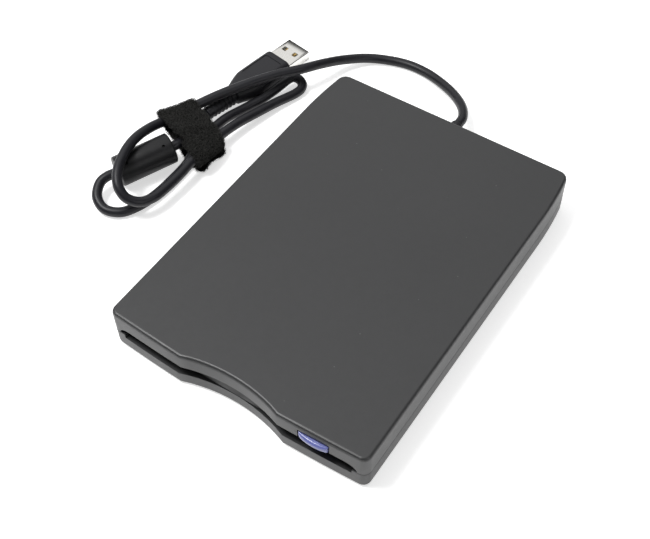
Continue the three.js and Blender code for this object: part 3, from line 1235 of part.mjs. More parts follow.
const plugGroup = new THREE.Group();
plugGroup.position.copy(plugFront);
plugGroup.rotation.z = Math.atan2(plugAxis.y, plugAxis.x) - Math.PI / 2;
object.add(plugGroup);
place('plug_overmould', plugOvermould(), 'rubber', plugGroup);
place('usb_shell', usbShell(), 'plated', plugGroup);
place('usb_contact_tongue', contactTongue(), 'white', plugGroup);

console.log(`hank least gap ${leastGap(wound).toFixed(2)} mm`);
console.log(`lead length ${(wholeLead.getLength() + plugLeadCurve.getLength()).toFixed(0)} mm`);

export default object;
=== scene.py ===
import json
from contextlib import contextmanager
from math import atan2, cos, hypot, pi, radians, sin, sqrt

import bmesh
import bpy
import numpy as np
from mathutils import Matrix, Vector
from mathutils.bvhtree import BVHTree


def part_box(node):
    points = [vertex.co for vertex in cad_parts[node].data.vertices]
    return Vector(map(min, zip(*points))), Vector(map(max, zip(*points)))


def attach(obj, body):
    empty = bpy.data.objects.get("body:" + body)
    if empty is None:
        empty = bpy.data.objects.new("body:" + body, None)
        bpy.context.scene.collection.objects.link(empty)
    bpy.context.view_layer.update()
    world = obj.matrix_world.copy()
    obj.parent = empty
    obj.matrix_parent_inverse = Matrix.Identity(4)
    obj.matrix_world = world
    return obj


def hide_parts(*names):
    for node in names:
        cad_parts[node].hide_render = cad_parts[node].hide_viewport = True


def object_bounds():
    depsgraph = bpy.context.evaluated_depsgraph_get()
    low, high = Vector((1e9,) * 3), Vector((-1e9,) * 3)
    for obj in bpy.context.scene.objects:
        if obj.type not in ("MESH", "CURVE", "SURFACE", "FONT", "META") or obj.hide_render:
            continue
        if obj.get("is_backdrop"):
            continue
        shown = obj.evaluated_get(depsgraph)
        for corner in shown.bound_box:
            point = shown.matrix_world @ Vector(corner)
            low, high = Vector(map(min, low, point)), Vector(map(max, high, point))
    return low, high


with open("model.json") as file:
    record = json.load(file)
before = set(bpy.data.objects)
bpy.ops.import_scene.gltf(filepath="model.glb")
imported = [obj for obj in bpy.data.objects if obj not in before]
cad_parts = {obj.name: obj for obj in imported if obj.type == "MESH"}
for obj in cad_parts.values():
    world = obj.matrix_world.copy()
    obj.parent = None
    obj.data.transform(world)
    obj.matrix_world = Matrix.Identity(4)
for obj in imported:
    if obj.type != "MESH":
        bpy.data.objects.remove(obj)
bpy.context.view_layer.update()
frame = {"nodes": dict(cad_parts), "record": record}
scene = bpy.context.scene
mm = 0.001
upward = Vector((0, 0, 1))
moveBy = Matrix.Translation
bodyOf = {node: body for body, nodes in frame["record"]["behaviour"]["bodies"].items() for node in nodes}
print("frame loaded,", len(frame["nodes"]), "CAD nodes")

# the camera stands where the photo was taken from
photoView = {
    "azimuth": 34.81, "elevation": 52.33, "roll": -1.09,  # degrees
    "distance": 0.3997, "target": (-0.00846, -0.00361, 0.0),
    "focalPixels": 1086.1, "frameWidth": 650, "sensorWidth": 36.0, "clip": (0.01, 20)}


def linked(name, data):
    thing = bpy.data.objects.new(name, data)
    scene.collection.objects.link(thing)
    return thing


def lookFrom(view):
    a, e, r = (radians(view[k]) for k in ("azimuth", "elevation", "roll"))
    back = Vector((sin(a) * cos(e), -cos(a) * cos(e), sin(e)))
    right = upward.cross(back).normalized()
    up = back.cross(right)
    camera = bpy.data.cameras.new("photoCamera")
    camera.sensor_width = view["sensorWidth"]
    camera.lens = view["focalPixels"] / view["frameWidth"] * view["sensorWidth"]
    camera.clip_start, camera.clip_end = view["clip"]
    turn = Matrix((right * cos(r) + up * sin(r), up * cos(r) - right * sin(r), back)).transposed().to_4x4()
    scene.camera = linked("photoCamera", camera)
    scene.camera.matrix_world = moveBy(Vector(view["target"]) + back * view["distance"]) @ turn


lookFrom(photoView)


# meshes
def addPiece(name, mesh, finish, standsFor=(), body="case"):
    piece = linked(name, mesh)
    if finish is not None:
        mesh.materials.clear()
        mesh.materials.append(finish)
    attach(piece, body)
    if standsFor:
        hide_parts(*standsFor)
    return piece


@contextmanager
def editing(mesh):
    form = bmesh.new()
    form.from_mesh(mesh)
    yield form
    form.to_mesh(mesh)
    form.free()


def smoothBy(mesh, degrees):
    mesh.shade_smooth()
    mesh.set_sharp_from_angle(angle=radians(degrees))
    return mesh


def plainMesh(name, vertices, edges=(), faces=()):
    mesh = bpy.data.meshes.new(name)
    mesh.from_pydata([tuple(v) for v in vertices], edges, faces)
    return mesh


def meshFrom(name, vertices, faces):
    mesh = plainMesh(name, vertices, (), faces)
    mesh.validate()
    with editing(mesh) as form:
        bmesh.ops.remove_doubles(form, verts=form.verts, dist=1e-7)
        bmesh.ops.recalc_face_normals(form, faces=form.faces)
    return mesh


def loft(name, rings):
    count = len(rings[0])
    faces = []
    for r in range(len(rings) - 1):
        for i in range(count):
            a, b = r * count + i, r * count + (i + 1) % count
            faces.append((a, b, b + count, a + count))
    faces.append(tuple(range(count))[::-1])
    faces.append(tuple((len(rings) - 1) * count + i for i in range(count)))
    return meshFrom(name, [point for ring in rings for point in ring], faces)


def lathe(name, profile, sides, place):
    # profile is radius and distance along the local Z, place a matrix
    angles = [2 * pi * i / sides for i in range(sides)]
    return loft(name, [[place @ Vector((radius * cos(t), radius * sin(t), height)) for t in angles]
        for radius, height in profile])


def boxMesh(name, low, high):
    mesh = bpy.data.meshes.new(name)
    with editing(mesh) as form:
        bmesh.ops.create_cube(form, size=1)
        for vertex in form.verts:
            vertex.co = Vector(((a + b) / 2 + v * (b - a) for v, a, b in zip(vertex.co, low, high)))
    return mesh


def joinedMesh(name, meshes):
    form = bmesh.new()
    for mesh in meshes:
        form.from_mesh(mesh)
    whole = bpy.data.meshes.new(name)
    form.to_mesh(whole)
    form.free()
    return whole


def keepAbove(mesh, height):
    with editing(mesh) as form:
        for vertex in form.verts:
            vertex.co.z = max(vertex.co.z, height)


def bakeMesh(holder, name):
    # the plain mesh that comes out of an object's modifiers
    bpy.context.view_layer.update()
    view = bpy.context.evaluated_depsgraph_get()
    mesh = bpy.data.meshes.new_from_object(holder.evaluated_get(view))
    mesh.name = name
    bpy.data.objects.remove(holder)
    return mesh


def carved(name, mesh, cuts, additions=()):
    # a mesh with the additions joined on and then the cuts taken away
    holder = linked(name + "Base", mesh)
    others = [(linked("addition", m), "UNION") for m in additions] + [(linked("cut", m), "DIFFERENCE") for m in cuts]
    for other, operation in others:
        step = holder.modifiers.new("carve", "BOOLEAN")
        step.object, step.operation, step.solver = other, operation, "EXACT"
    whole = bakeMesh(holder, name)
    for other, _ in others:
        bpy.data.objects.remove(other)
    return whole


def softenEdges(piece, width, degrees):
    edge = piece.modifiers.new("softEdges", "BEVEL")
    edge.width, edge.segments, edge.limit_method = width, 2, "ANGLE"
    edge.angle_limit = radians(degrees)


def refined(name, node, finish, smooth=40, bevel=0):
    # the CAD node's own triangles, welded, with flat faces joined up and edges softened
    mesh = frame["nodes"][node].data.copy()
    with editing(mesh) as form:
        bmesh.ops.remove_doubles(form, verts=form.verts, dist=2e-6)
        bmesh.ops.dissolve_limit(form, angle_limit=radians(0.4), verts=form.verts, edges=form.edges)
    piece = addPiece(name, mesh, finish, [node], bodyOf[node])
    if bevel:
        softenEdges(piece, bevel, 50)
    smoothBy(mesh, smooth)
    weigh = piece.modifiers.new("facePull", "WEIGHTED_NORMAL")
    weigh.keep_sharp, weigh.weight = True, 100
    return piece


# node trees
def feed(socket, source):
    # a node stands for its first output, and a plain value is set where a socket is linked
    if isinstance(source, bpy.types.Node):
        source = source.outputs[0]
    if isinstance(source, bpy.types.NodeSocket):
        socket.id_data.links.new(source, socket)
    else:
        socket.default_value = source


def feedNode(node, **values):
    for title, value in values.items():
        feed(node.inputs[title.replace("_", " ")], value)


def painted(finish, **values):
    feedNode(finish.node_tree.nodes["Principled BSDF"], **values)
    return finish


def addNode(tree, kind, **values):
    # a value goes to the node's property of that name, or else to its input
    node = tree.nodes.new(kind)
    for title, value in values.items():
        if hasattr(node, title):
            setattr(node, title, value)
        else:
            feedNode(node, **{title: value})
    return node


def geo(tree, kind, **values):
    return addNode(tree, "GeometryNode" + kind, **values)


def mathOf(operation, *sources, kind="ShaderNodeMath"):
    node = addNode(sources[0].id_data, kind, operation=operation)
    for socket, source in zip(node.inputs, sources):
        feed(socket, source)
    return node.outputs["Value"]


def grown(name, base, build, sizes, finish):
    # runs a Geometry Nodes tree, one named input for each size, and keeps the plain mesh that comes out
    tree = bpy.data.node_groups.new(build.__name__, "GeometryNodeTree")
    for way in ("INPUT", "OUTPUT"):
        tree.interface.new_socket("Geometry", in_out=way, socket_type="NodeSocketGeometry")
    kinds = {float: "Float", int: "Int", Vector: "Vector", bpy.types.Material: "Material"}
    inputs = []
    for title, value in dict(sizes, Finish=finish).items():
        socket = tree.interface.new_socket(title, in_out="INPUT", socket_type="NodeSocket" + kinds[type(value)])
        inputs.append((socket.identifier, value))
    given = tree.nodes.new("NodeGroupInput").outputs
    whole = geo(tree, "RealizeInstances", Geometry=build(tree, given))
    paint = geo(tree, "SetMaterial", Geometry=whole, Material=given["Finish"])
    addNode(tree, "NodeGroupOutput", Geometry=paint)
    holder = linked(name + "Base", base)
    grower = holder.modifiers.new(tree.name, "NODES")
    grower.node_group = tree
    for identifier, value in inputs:
        grower[identifier] = value
    return bakeMesh(holder, name)


def vectorOf(tree, **parts):
    return addNode(tree, "ShaderNodeCombineXYZ", **parts)


def swept(tree, curve, sides, radius, caps=False):
    profile = geo(tree, "CurvePrimitiveCircle", Resolution=sides, Radius=radius)
    return geo(tree, "CurveToMesh", Fill_Caps=caps, Curve=curve, Profile_Curve=profile)


def inRow(tree, instance, count, step, **more):
    row = geo(tree, "MeshLine", Count=count, Offset=step)
    return geo(tree, "InstanceOnPoints", Points=row, Instance=instance, **more)


def smoothed(tree, geometry):
    return geo(tree, "SetShadeSmooth", Geometry=geometry)


# finishes
def startFinish(name):
    finish = bpy.data.materials.new(name)
    finish.use_nodes = True
    return finish, finish.node_tree.nodes.new("ShaderNodeTexCoord").outputs["Object"]


def noiseOn(place, scale, detail=2.0, rough=0.5, stretch=None):
    tree = place.id_data
    if stretch is not None:
        place = addNode(tree, "ShaderNodeMapping", Scale=stretch, Vector=place)
    return addNode(tree, "ShaderNodeTexNoise", Scale=scale, Detail=detail, Roughness=rough,
        Vector=place).outputs["Fac"]


def cellsOn(place, scale, **more):
    return addNode(place.id_data, "ShaderNodeTexVoronoi", Scale=scale, Vector=place, **more)


def spread(source, low, high, fromLow=0.0, fromHigh=1.0):
    return addNode(source.id_data, "ShaderNodeMapRange", From_Min=fromLow, From_Max=fromHigh, To_Min=low,
        To_Max=high, Value=source).outputs[0]


def tint(source, low, dark, high, light):
    ramp = addNode(source.id_data, "ShaderNodeValToRGB", Fac=source)
    for element, at, colour in zip(ramp.color_ramp.elements, (low, high), (dark, light)):
        element.position = at
        element.color = (*colour, 1)
    return ramp.outputs["Color"]


def blend(first, second, share):
    return mathOf("MULTIPLY_ADD", second, share, first)


def dotted(colour, dots, paint):
    return addNode(dots.id_data, "ShaderNodeMix", data_type="RGBA", Factor=dots, A=colour,
        B=(*paint, 1)).outputs["Result"]


def bumpy(height, depth, strength):
    return addNode(height.id_data, "ShaderNodeBump", Strength=strength, Distance=depth, Height=height)


def finishShell(name, dark, light):
    # matte moulded plastic: fine spark-eroded grain, a slow drift of tone, a few pale specks
    sizes = {"grain": 3600.0, "mottle": 420.0, "drift": 22.0, "speckCells": 330.0, "speckSize": (0.05, 0.09),
        "speckRare": (0.93, 0.95), "speck": (0.09, 0.09, 0.088), "grainDepth": 0.00006}
    finish, place = startFinish(name)
    grain = noiseOn(place, sizes["grain"], 3.0, 0.65)
    mottle = noiseOn(place, sizes["mottle"], 4.0, 0.6)
    tone = blend(blend(spread(grain, 0.0, 0.55), mottle, 0.3), noiseOn(place, sizes["drift"]), 0.25)
    cells = cellsOn(place, sizes["speckCells"])
    near = spread(cells.outputs["Distance"], 1.0, 0.0, *sizes["speckSize"])
    parts = addNode(place.id_data, "ShaderNodeSeparateColor", Color=cells.outputs["Color"])
    rare = spread(parts.outputs[0], 0.0, 1.0, *sizes["speckRare"])
    colour = dotted(tint(tone, 0.2, dark, 0.85, light), mathOf("MULTIPLY", near, rare), sizes["speck"])
    return painted(finish, Base_Color=colour, Roughness=spread(mottle, 0.34, 0.44), Specular_IOR_Level=0.5,
        Normal=bumpy(grain, sizes["grainDepth"], 0.35))


def moulded(name, dark, light, roughLow, roughHigh, grain=2600.0, depth=0.00003, specular=0.45):
    # plain moulded plastic or rubber with a fine skin
    finish, place = startFinish(name)
    fine = noiseOn(place, grain, 3.0, 0.6)
    wide = noiseOn(place, grain / 12, 3.0, 0.6)
    return painted(finish, Base_Color=tint(blend(spread(fine, 0.0, 0.4), wide, 0.6), 0.2, dark, 0.8, light),
        Roughness=spread(wide, roughLow, roughHigh, 0.3, 0.7), Specular_IOR_Level=specular,
        Normal=bumpy(fine, depth, 0.5))


def finishButton():
    # smooth blue-lavender plastic with a polished skin
    finish, place = startFinish("buttonLavender")
    fine = noiseOn(place, 4200.0)
    colour = tint(noiseOn(place, 260.0, 3.0), 0.3, (0.115, 0.135, 0.4), 0.7, (0.14, 0.162, 0.46))
    return painted(finish, Base_Color=colour, Roughness=spread(fine, 0.24, 0.36), Specular_IOR_Level=0.55,
        Coat_Weight=0.35, Coat_Roughness=0.14, Normal=bumpy(fine, 0.000012, 0.4))


def metal(name, dark, light, roughLow, roughHigh, stretch=None, grain=900.0, depth=0.000008):
    # sheet or turned metal, with the drawing lines along one way where stretch gives one
    finish, place = startFinish(name)
    lines = noiseOn(place, grain, 4.0, 0.6, stretch)
    cloud = noiseOn(place, 90.0, 3.0)
    return painted(finish, Base_Color=tint(blend(spread(lines, 0.0, 0.5), cloud, 0.5), 0.25, dark, 0.75, light),
        Roughness=spread(blend(spread(lines, 0.0, 0.6), cloud, 0.4), roughLow, roughHigh, 0.25, 0.75), Metallic=1.0,
        Normal=bumpy(lines, depth, 0.5))


def finishCord():
    # satin jacket: very fine lines along the lead, a slow waviness and dust-dull patches
    finish, place = startFinish("cordJacket")
    tree = place.id_data
    along, around = (addNode(tree, "ShaderNodeAttribute", attribute_name=measure).outputs["Fac"]
        for measure in ("alongLead", "aroundLead"))
    mapped = vectorOf(tree, X=along, Y=around)
    lines = noiseOn(mapped.outputs[0], 1.0, 3.0, 0.5, (220.0, 26.0, 1.0))
    dull = noiseOn(place, 160.0, 3.0)
    colour = tint(blend(spread(lines, 0.0, 0.5), dull, 0.5), 0.25, (0.011, 0.011, 0.014), 0.75, (0.02, 0.02, 0.024))
    return painted(finish, Base_Color=colour, Roughness=spread(dull, 0.34, 0.46, 0.3, 0.7), Specular_IOR_Level=0.32,
        Normal=bumpy(blend(lines, noiseOn(place, 3200.0), 0.5), 0.00004, 0.4))


def finishStrap(name, dark, light):
    # hook-and-loop cloth: matted loops
    finish, place = startFinish(name)
    height = blend(noiseOn(place, 1300.0, 4.0, 0.7), cellsOn(place, 1100.0).outputs["Distance"], 0.6)
    return painted(finish, Base_Color=tint(height, 0.45, dark, 0.85, light), Roughness=0.95, Specular_IOR_Level=0.12,
        Normal=bumpy(height, 0.0005, 0.9))


def finishBoard():
    # green lacquered board: copper runs showing as raised paler lines, small pads
    finish, place = startFinish("boardLacquer")
    tree = place.id_data
    bricks = addNode(tree, "ShaderNodeTexBrick", Scale=260.0, Mortar_Size=0.08, Mortar_Smooth=0.2,
        Color1=(0, 0, 0, 1), Color2=(0, 0, 0, 1), Mortar=(1, 1, 1, 1), Vector=place)
    runs = addNode(tree, "ShaderNodeRGBToBW", Color=bricks.outputs["Color"]).outputs[0]
    dots = spread(cellsOn(place, 420.0, Randomness=0.35).outputs["Distance"], 1.0, 0.0, 0.14, 0.18)
    green = tint(runs, 0.2, (0.01, 0.085, 0.035), 0.8, (0.03, 0.17, 0.075))
    return painted(finish, Base_Color=dotted(green, dots, (0.55, 0.53, 0.48)), Roughness=spread(dots, 0.35, 0.22),
        Normal=bumpy(blend(runs, dots, 0.6), 0.00004, 0.6))


print("making finishes")
shellTop = finishShell("shellCharcoal", (0.026, 0.0264, 0.0274), (0.041, 0.0415, 0.0426))
shellLower = finishShell("shellCharcoalLower", (0.024, 0.0243, 0.025), (0.038, 0.0384, 0.0392))
doorPlastic = moulded("doorDark", (0.012, 0.0125, 0.013), (0.019, 0.0195, 0.02), 0.5, 0.62, specular=0.3)
buttonPlastic = finishButton()
cordJacket = finishCord()
chokeShell = moulded("chokeShell", (0.008, 0.008, 0.009), (0.015, 0.015, 0.016), 0.34, 0.46, specular=0.28)
plugRubber = moulded("plugRubber", (0.013, 0.013, 0.016), (0.024, 0.024, 0.028), 0.38, 0.5, specular=0.32)
exitRubber = moulded("exitRubber", (0.012, 0.012, 0.014), (0.021, 0.021, 0.024), 0.5, 0.62, specular=0.35)
footRubber = moulded("footRubber", (0.016, 0.016, 0.017), (0.03, 0.03, 0.031), 0.75, 0.88, 1800.0,
    0.00006, 0.3)
strapCloth = finishStrap("strapCloth", (0.002, 0.002, 0.002), (0.02, 0.02, 0.0186))
strapPile = finishStrap("strapPile", (0.006, 0.006, 0.006), (0.06, 0.06, 0.057))
platedSheet = metal("platedSheet", (0.6, 0.6, 0.58), (0.8, 0.79, 0.77), 0.16, 0.34, (1, 12, 1))
shellPlating = metal("plugPlating", (0.66, 0.65, 0.62), (0.86, 0.85, 0.82), 0.12, 0.26, (8, 1, 8), 700.0,
    0.000006)
steelSheet = metal("steelSheet", (0.36, 0.37, 0.38), (0.6, 0.61, 0.62), 0.28, 0.48, (14, 1, 1))
steelTurned = metal("steelTurned", (0.42, 0.42, 0.43), (0.62, 0.62, 0.63), 0.2, 0.36, (1, 1, 10), 1400.0)
screwSteel = metal("screwSteel", (0.34, 0.34, 0.34), (0.56, 0.56, 0.55), 0.25, 0.45, None, 1600.0)
springSteel = metal("springSteel", (0.4, 0.4, 0.41), (0.62, 0.62, 0.63), 0.22, 0.36, None, 2200.0)
brassTurned = metal("brassTurned", (0.5, 0.34, 0.12), (0.68, 0.5, 0.22), 0.22, 0.38, (1, 1, 10), 1200.0)
contactGold = metal("contactGold", (0.72, 0.48, 0.16), (0.9, 0.66, 0.3), 0.18, 0.3, (10, 1, 1))
copperWire = metal("copperWire", (0.4, 0.14, 0.06), (0.62, 0.26, 0.13), 0.28, 0.42, (1, 1, 30))
boardLacquer = finishBoard()
chipBlack = moulded("chipBlack", (0.012, 0.012, 0.013), (0.024, 0.024, 0.025), 0.5, 0.65)
nylonWhite = moulded("nylonWhite", (0.66, 0.65, 0.6), (0.78, 0.77, 0.73), 0.4, 0.52, 1500.0)
magnetBonded = moulded("magnetBonded", (0.035, 0.032, 0.031), (0.07, 0.064, 0.06), 0.55, 0.7, 1600.0)

# the lead, one path from the case through the hank and the choke to the plug
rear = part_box("top_cover")[1].y / mm  # the case's rear face, where the lead's points are measured from
leadSizes = {"diameter": 4.0, "sides": 20, "perSpan": 10, "exitGap": 0.3}
leadPoints = [
    (-1.2, 8.25, 8.6), (-1.5, 12.25, 8.4), (-5, 18.75, 7), (-12.5, 25.75, 4.8), (-22, 31.05, 3),
    (-31, 33.75, 2.2), (-39.5, 33.95, 2.05), (-48, 31.75, 2.1), (-56, 27.15, 2.8), (-62.6, 18.35, 5.2),
    (-66.6, 8.25, 8.6), (-70.7, -1.15, 10.6)]
hankPoints = [
    (-76.3, -9.05, 11.2), (-81.8, -17.55, 11.2), (-86.4, -25.25, 10.8), (-90.6, -32.65, 10.2),
    (-94, -39.65, 9.6), (-96.8, -46.85, 9.3), (-98.9, -54.85, 10.2), (-99.8, -63.35, 12.6),
    (-99.2, -72.55, 14.9), (-96.8, -81.85, 16), (-93.6, -89.65, 15.1), (-89.8, -94.25, 13),
    (-85.6, -95.45, 10.2), (-81.6, -93.05, 8), (-79.2, -87.85, 7), (-78.4, -80.25, 6.8),
    (-78.2, -72.25, 7), (-78.4, -64.25, 7.5), (-78.4, -55.25, 7), (-78.7, -46.25, 5.8),
    (-77.7, -36.85, 4.9), (-75.4, -26.45, 3.8), (-72.9, -16.65, 2.9), (-71.1, -11.25, 2.4),
    (-69.7, -6.95, 2.15), (-69.25, -3.75, 2.25), (-70.1, -1.45, 2.8), (-72.3, -0.5, 3.6),
    (-74.5, -1.45, 4.4), (-75.4, -3.8, 4.75), (-75.9, -7.3, 4.7), (-77, -11.95, 4), (-79, -18.25, 3),
    (-82.2, -26.85, 2.5), (-84.2, -36.25, 3.6), (-84.6, -45.85, 4), (-83.8, -54.75, 4.3),
    (-82.5, -64.25, 2.3), (-82.2, -74.25, 2.1), (-82.6, -82.75, 2.05), (-84.4, -90.85, 2.05),
    (-88.2, -97.45, 2.1), (-94, -99.85, 2.6), (-99.4, -97.65, 4), (-102.2, -92.25, 5.6), (-101.6, -88.85, 6.3)]
plugLeadPoints = [(-88, -59.75, 8), (-88.2, -54.25, 6.6), (-89.8, -47.75, 5)]
chokeSizes = {"from": (-99.6, -84.85, 6.5), "to": (-89.4, -63.85, 7.9), "radius": 6.2, "edge": 0.8, "sides": 72,
    "dimpleRadius": 0.75, "dimpleFloor": 0.8, "dimpleDepth": 0.9, "dimpleShares": (0.16, 0.84), "dimpleTurn": 62.0}
plugSizes = {"front": (-84.5, 2.35, 4.6), "axis": (0.17, 0.985, 0.0), "reliefEnd": 42.0, "straightRun": 2.5,
    "panelHalf": 4.7, "panelFrom": 3.0, "panelTo": 17.4, "panelLevels": (3.75, 6.0), "panelCorner": 1.0,
    "pocket": (6.1, 2.35, 0.5), "pocketEnds": (-2.0, 2.5), "coreStart": 26.0, "bore": 2.0,
    "coreRadii": (3.05, 2.5, 2.35), "coreSides": 36, "tipEdge": 0.3, "ribsFrom": 28.2, "ribs": 7,
    "firstRib": 3.05, "lastRib": 2.45, "ribHalf": 0.29, "ribLead": 0.4}


def fromRear(point):
    return Vector((point[0], point[1] + rear, point[2])) * mm


def smoothThrough(points, perSpan):
    # a centripetal curve through the points, as the CAD's own
    ends = [points[0] * 2 - points[1]] + list(points) + [points[-1] * 2 - points[-2]]
    out = []
    for i in range(1, len(ends) - 2):
        p0, p1, p2, p3 = ends[i - 1:i + 3]
        d0, d1, d2 = (max((b - a).length, 1e-9) ** 0.5 for a, b in ((p0, p1), (p1, p2), (p2, p3)))
        t1 = ((p1 - p0) / d0 - (p2 - p0) / (d0 + d1) + (p2 - p1) / d1) * d1
        t2 = ((p2 - p1) / d1 - (p3 - p1) / (d1 + d2) + (p3 - p2) / d2) * d1
        square, cube = p2 * 3 - p1 * 3 - t1 * 2 - t2, p1 * 2 - p2 * 2 + t1 + t2
        for k in range(perSpan):
            t = k / perSpan
            out.append(p1 + t1 * t + square * t ** 2 + cube * t ** 3)
    return out + [ends[-2]]


chokeFrom, chokeTo = fromRear(chokeSizes["from"]), fromRear(chokeSizes["to"])
chokeAxis = (chokeTo - chokeFrom).normalized()
plugFront = fromRear(plugSizes["front"])
plugAxis = Vector(plugSizes["axis"]).normalized()
plugSide = Vector((plugAxis.y, -plugAxis.x, 0))
leadEnd = plugFront - plugAxis * (plugSizes["reliefEnd"] + leadSizes["exitGap"]) * mm
firstPart = smoothThrough([fromRear(p) for p in leadPoints + hankPoints]
    + [chokeFrom - chokeAxis * leadSizes["exitGap"] * mm], leadSizes["perSpan"])
lastPart = smoothThrough([chokeTo + chokeAxis * leadSizes["exitGap"] * mm] + [fromRear(p) for p in plugLeadPoints]
    + [leadEnd - plugAxis * plugSizes["straightRun"] * mm, leadEnd], leadSizes["perSpan"])
throughChoke = [chokeFrom.lerp(chokeTo, share) for share in (0.25, 0.5, 0.75)]
leadPath = firstPart + throughChoke + lastPart


def leadAlongPath(tree, given):
    def measured(geometry, part):
        # keeps one measure of the spline on its points
        node = geo(tree, "CaptureAttribute", Geometry=geometry)
        node.capture_items.new("FLOAT", "measure")
        feedNode(node, measure=geo(tree, "SplineParameter").outputs[part])
        return node

    line = geo(tree, "MeshToCurve", Mesh=given["Geometry"])
    along = measured(line, "Length")
    around = measured(geo(tree, "CurvePrimitiveCircle", Resolution=given["Sides"],
        Radius=mathOf("DIVIDE", given["Diameter"], 2)), "Factor")
    tube = geo(tree, "CurveToMesh", Fill_Caps=True, Curve=along, Profile_Curve=around)
    for title, node in (("alongLead", along), ("aroundLead", around)):
        tube = geo(tree, "StoreNamedAttribute", data_type="FLOAT", Name=title, Geometry=tube,
            Value=node.outputs["measure"])
    return tube


leadMesh = grown("lead", plainMesh("leadPath", leadPath, [(i, i + 1) for i in range(len(leadPath) - 1)]),
    leadAlongPath, {"Diameter": leadSizes["diameter"] * mm, "Sides": leadSizes["sides"]}, cordJacket)
lead = addPiece("lead", smoothBy(leadMesh, 60), None, ["cord_lead", "cord_hank", "cord_plug_lead"])


# ribs, used on both reliefs
def ribsAlongAxis(tree, given):
    hoop = geo(tree, "CurvePrimitiveCircle", Resolution=40, Radius=given["First Radius"])
    size = addNode(tree, "ShaderNodeMapRange", From_Min=0.0, From_Max=mathOf("SUBTRACT", given["Ribs"], 1),
        To_Min=1.0, To_Max=mathOf("DIVIDE", given["Last Radius"], given["First Radius"]),
        Value=geo(tree, "InputIndex"))
    return smoothed(tree, inRow(tree, swept(tree, hoop, 8, given["Rib Half"]), given["Ribs"],
        vectorOf(tree, Z=given["Pitch"]), Scale=vectorOf(tree, X=size, Y=size, Z=1.0)))


def pointMesh(points=((0, 0, 0),)):
    return plainMesh("points", points)


def frameOn(origin, along, up=upward):
    # local Z runs along, local Y is up
    z = along.normalized()
    x = up.cross(z).normalized()
    return moveBy(origin) @ Matrix((x, z.cross(x), z)).transposed().to_4x4()


def ribbed(name, place, start, pitch, s, finish):
    mesh = grown(name, pointMesh(), ribsAlongAxis,
        {"Ribs": s["ribs"], "Pitch": pitch * mm, "Rib Half": pitch * s["ribHalf"] * mm,
        "First Radius": s["firstRib"] * mm, "Last Radius": s["lastRib"] * mm}, finish)
    mesh.transform(place @ moveBy((0, 0, start * mm)))
    return mesh


def roundedProfile(points, fillets):
    # a profile with its corners rounded, in metres
    out = []
    for i, (point, fillet) in enumerate(zip(points, fillets)):
        if not fillet or i in (0, len(points) - 1):
            out.append(point)
            continue
        here, before, after = (Vector((*p, 0)) for p in (point, points[i - 1], points[i + 1]))
        one = here + (before - here).normalized() * fillet
        two = here + (after - here).normalized() * fillet
        for share in (0.0, 0.25, 0.5, 0.75, 1.0):
            out.append(one.lerp(here, share).lerp(here.lerp(two, share), share)[:2])
    return [(r * mm, h * mm) for r, h in out]


# the collar where the lead leaves the case
collarSizes = {"x": -1.2, "z": 8.6, "neck": 3.3, "collar": 3.55, "tip": 2.75, "reach": 7.95, "seat": 0.15,
    "flange": 4.6, "flangeThickness": 1.2, "wall": 1.8, "bore": 2.08, "step": (1.1, 1.15),
    "coreDrop": 0.4, "sides": 40, "ribs": 5, "ribStart": 2.1, "ribRoom": 1.9, "ribHalf": 0.3,
    "firstRib": 3.1, "lastRib": 2.35}


def makeCollar(s):
    place = frameOn(Vector((s["x"], rear, s["z"])) * mm, Vector((0, 1, 0)))
    inner, seat, drop = -s["wall"] - s["seat"], s["seat"], s["coreDrop"]
    points = [(s["bore"], inner - s["flangeThickness"]), (s["flange"], inner - s["flangeThickness"]),
        (s["flange"], inner), (s["neck"], inner), (s["neck"], seat), (s["collar"], seat),
        (s["collar"], seat + s["step"][0]), (s["collar"] - drop, seat + s["step"][1]),
        (s["tip"] - drop, s["reach"]), (s["bore"], s["reach"])]
    profile = roundedProfile(points, [0, 0.2, 0.2, 0.2, 0.1, 0.25, 0.2, 0.05, 0.25, 0])
    core = smoothBy(lathe("collarCore", profile, s["sides"], place), 50)
    pitch = (s["reach"] - seat - s["ribRoom"]) / s["ribs"]
    return joinedMesh("exitCollar", [core, ribbed("collarRibs", place, seat + s["ribStart"], pitch, s, exitRubber)])


collar = addPiece("exitCollar", smoothBy(makeCollar(collarSizes), 50), exitRubber, ["strain_relief"])
print("collar made")


def makeChoke(s):
    length = (chokeTo - chokeFrom).length / mm
    profile = roundedProfile([(0.001, 0.0), (s["radius"], 0.0), (s["radius"], length), (0.001, length)],
        [0, s["edge"], s["edge"], 0])
    across = chokeAxis.cross(upward).normalized()
    turn = radians(s["dimpleTurn"])
    facing = across * cos(turn) + across.cross(chokeAxis) * sin(turn)
    dimples = []
    for share in s["dimpleShares"]:
        at = chokeFrom.lerp(chokeTo, share) + facing * (s["radius"] - s["dimpleDepth"]) * mm
        dimples.append(lathe("dimple", [(s["dimpleRadius"] * s["dimpleFloor"] * mm, 0),
            (s["dimpleRadius"] * mm, 0.002)], 20, frameOn(at, facing, chokeAxis)))
    body = lathe("choke", profile, s["sides"], frameOn(chokeFrom, chokeAxis))
    return smoothBy(carved("choke", body, dimples), 45)


choke = addPiece("choke", makeChoke(chokeSizes), chokeShell, ["ferrite_choke"])
print("choke made")

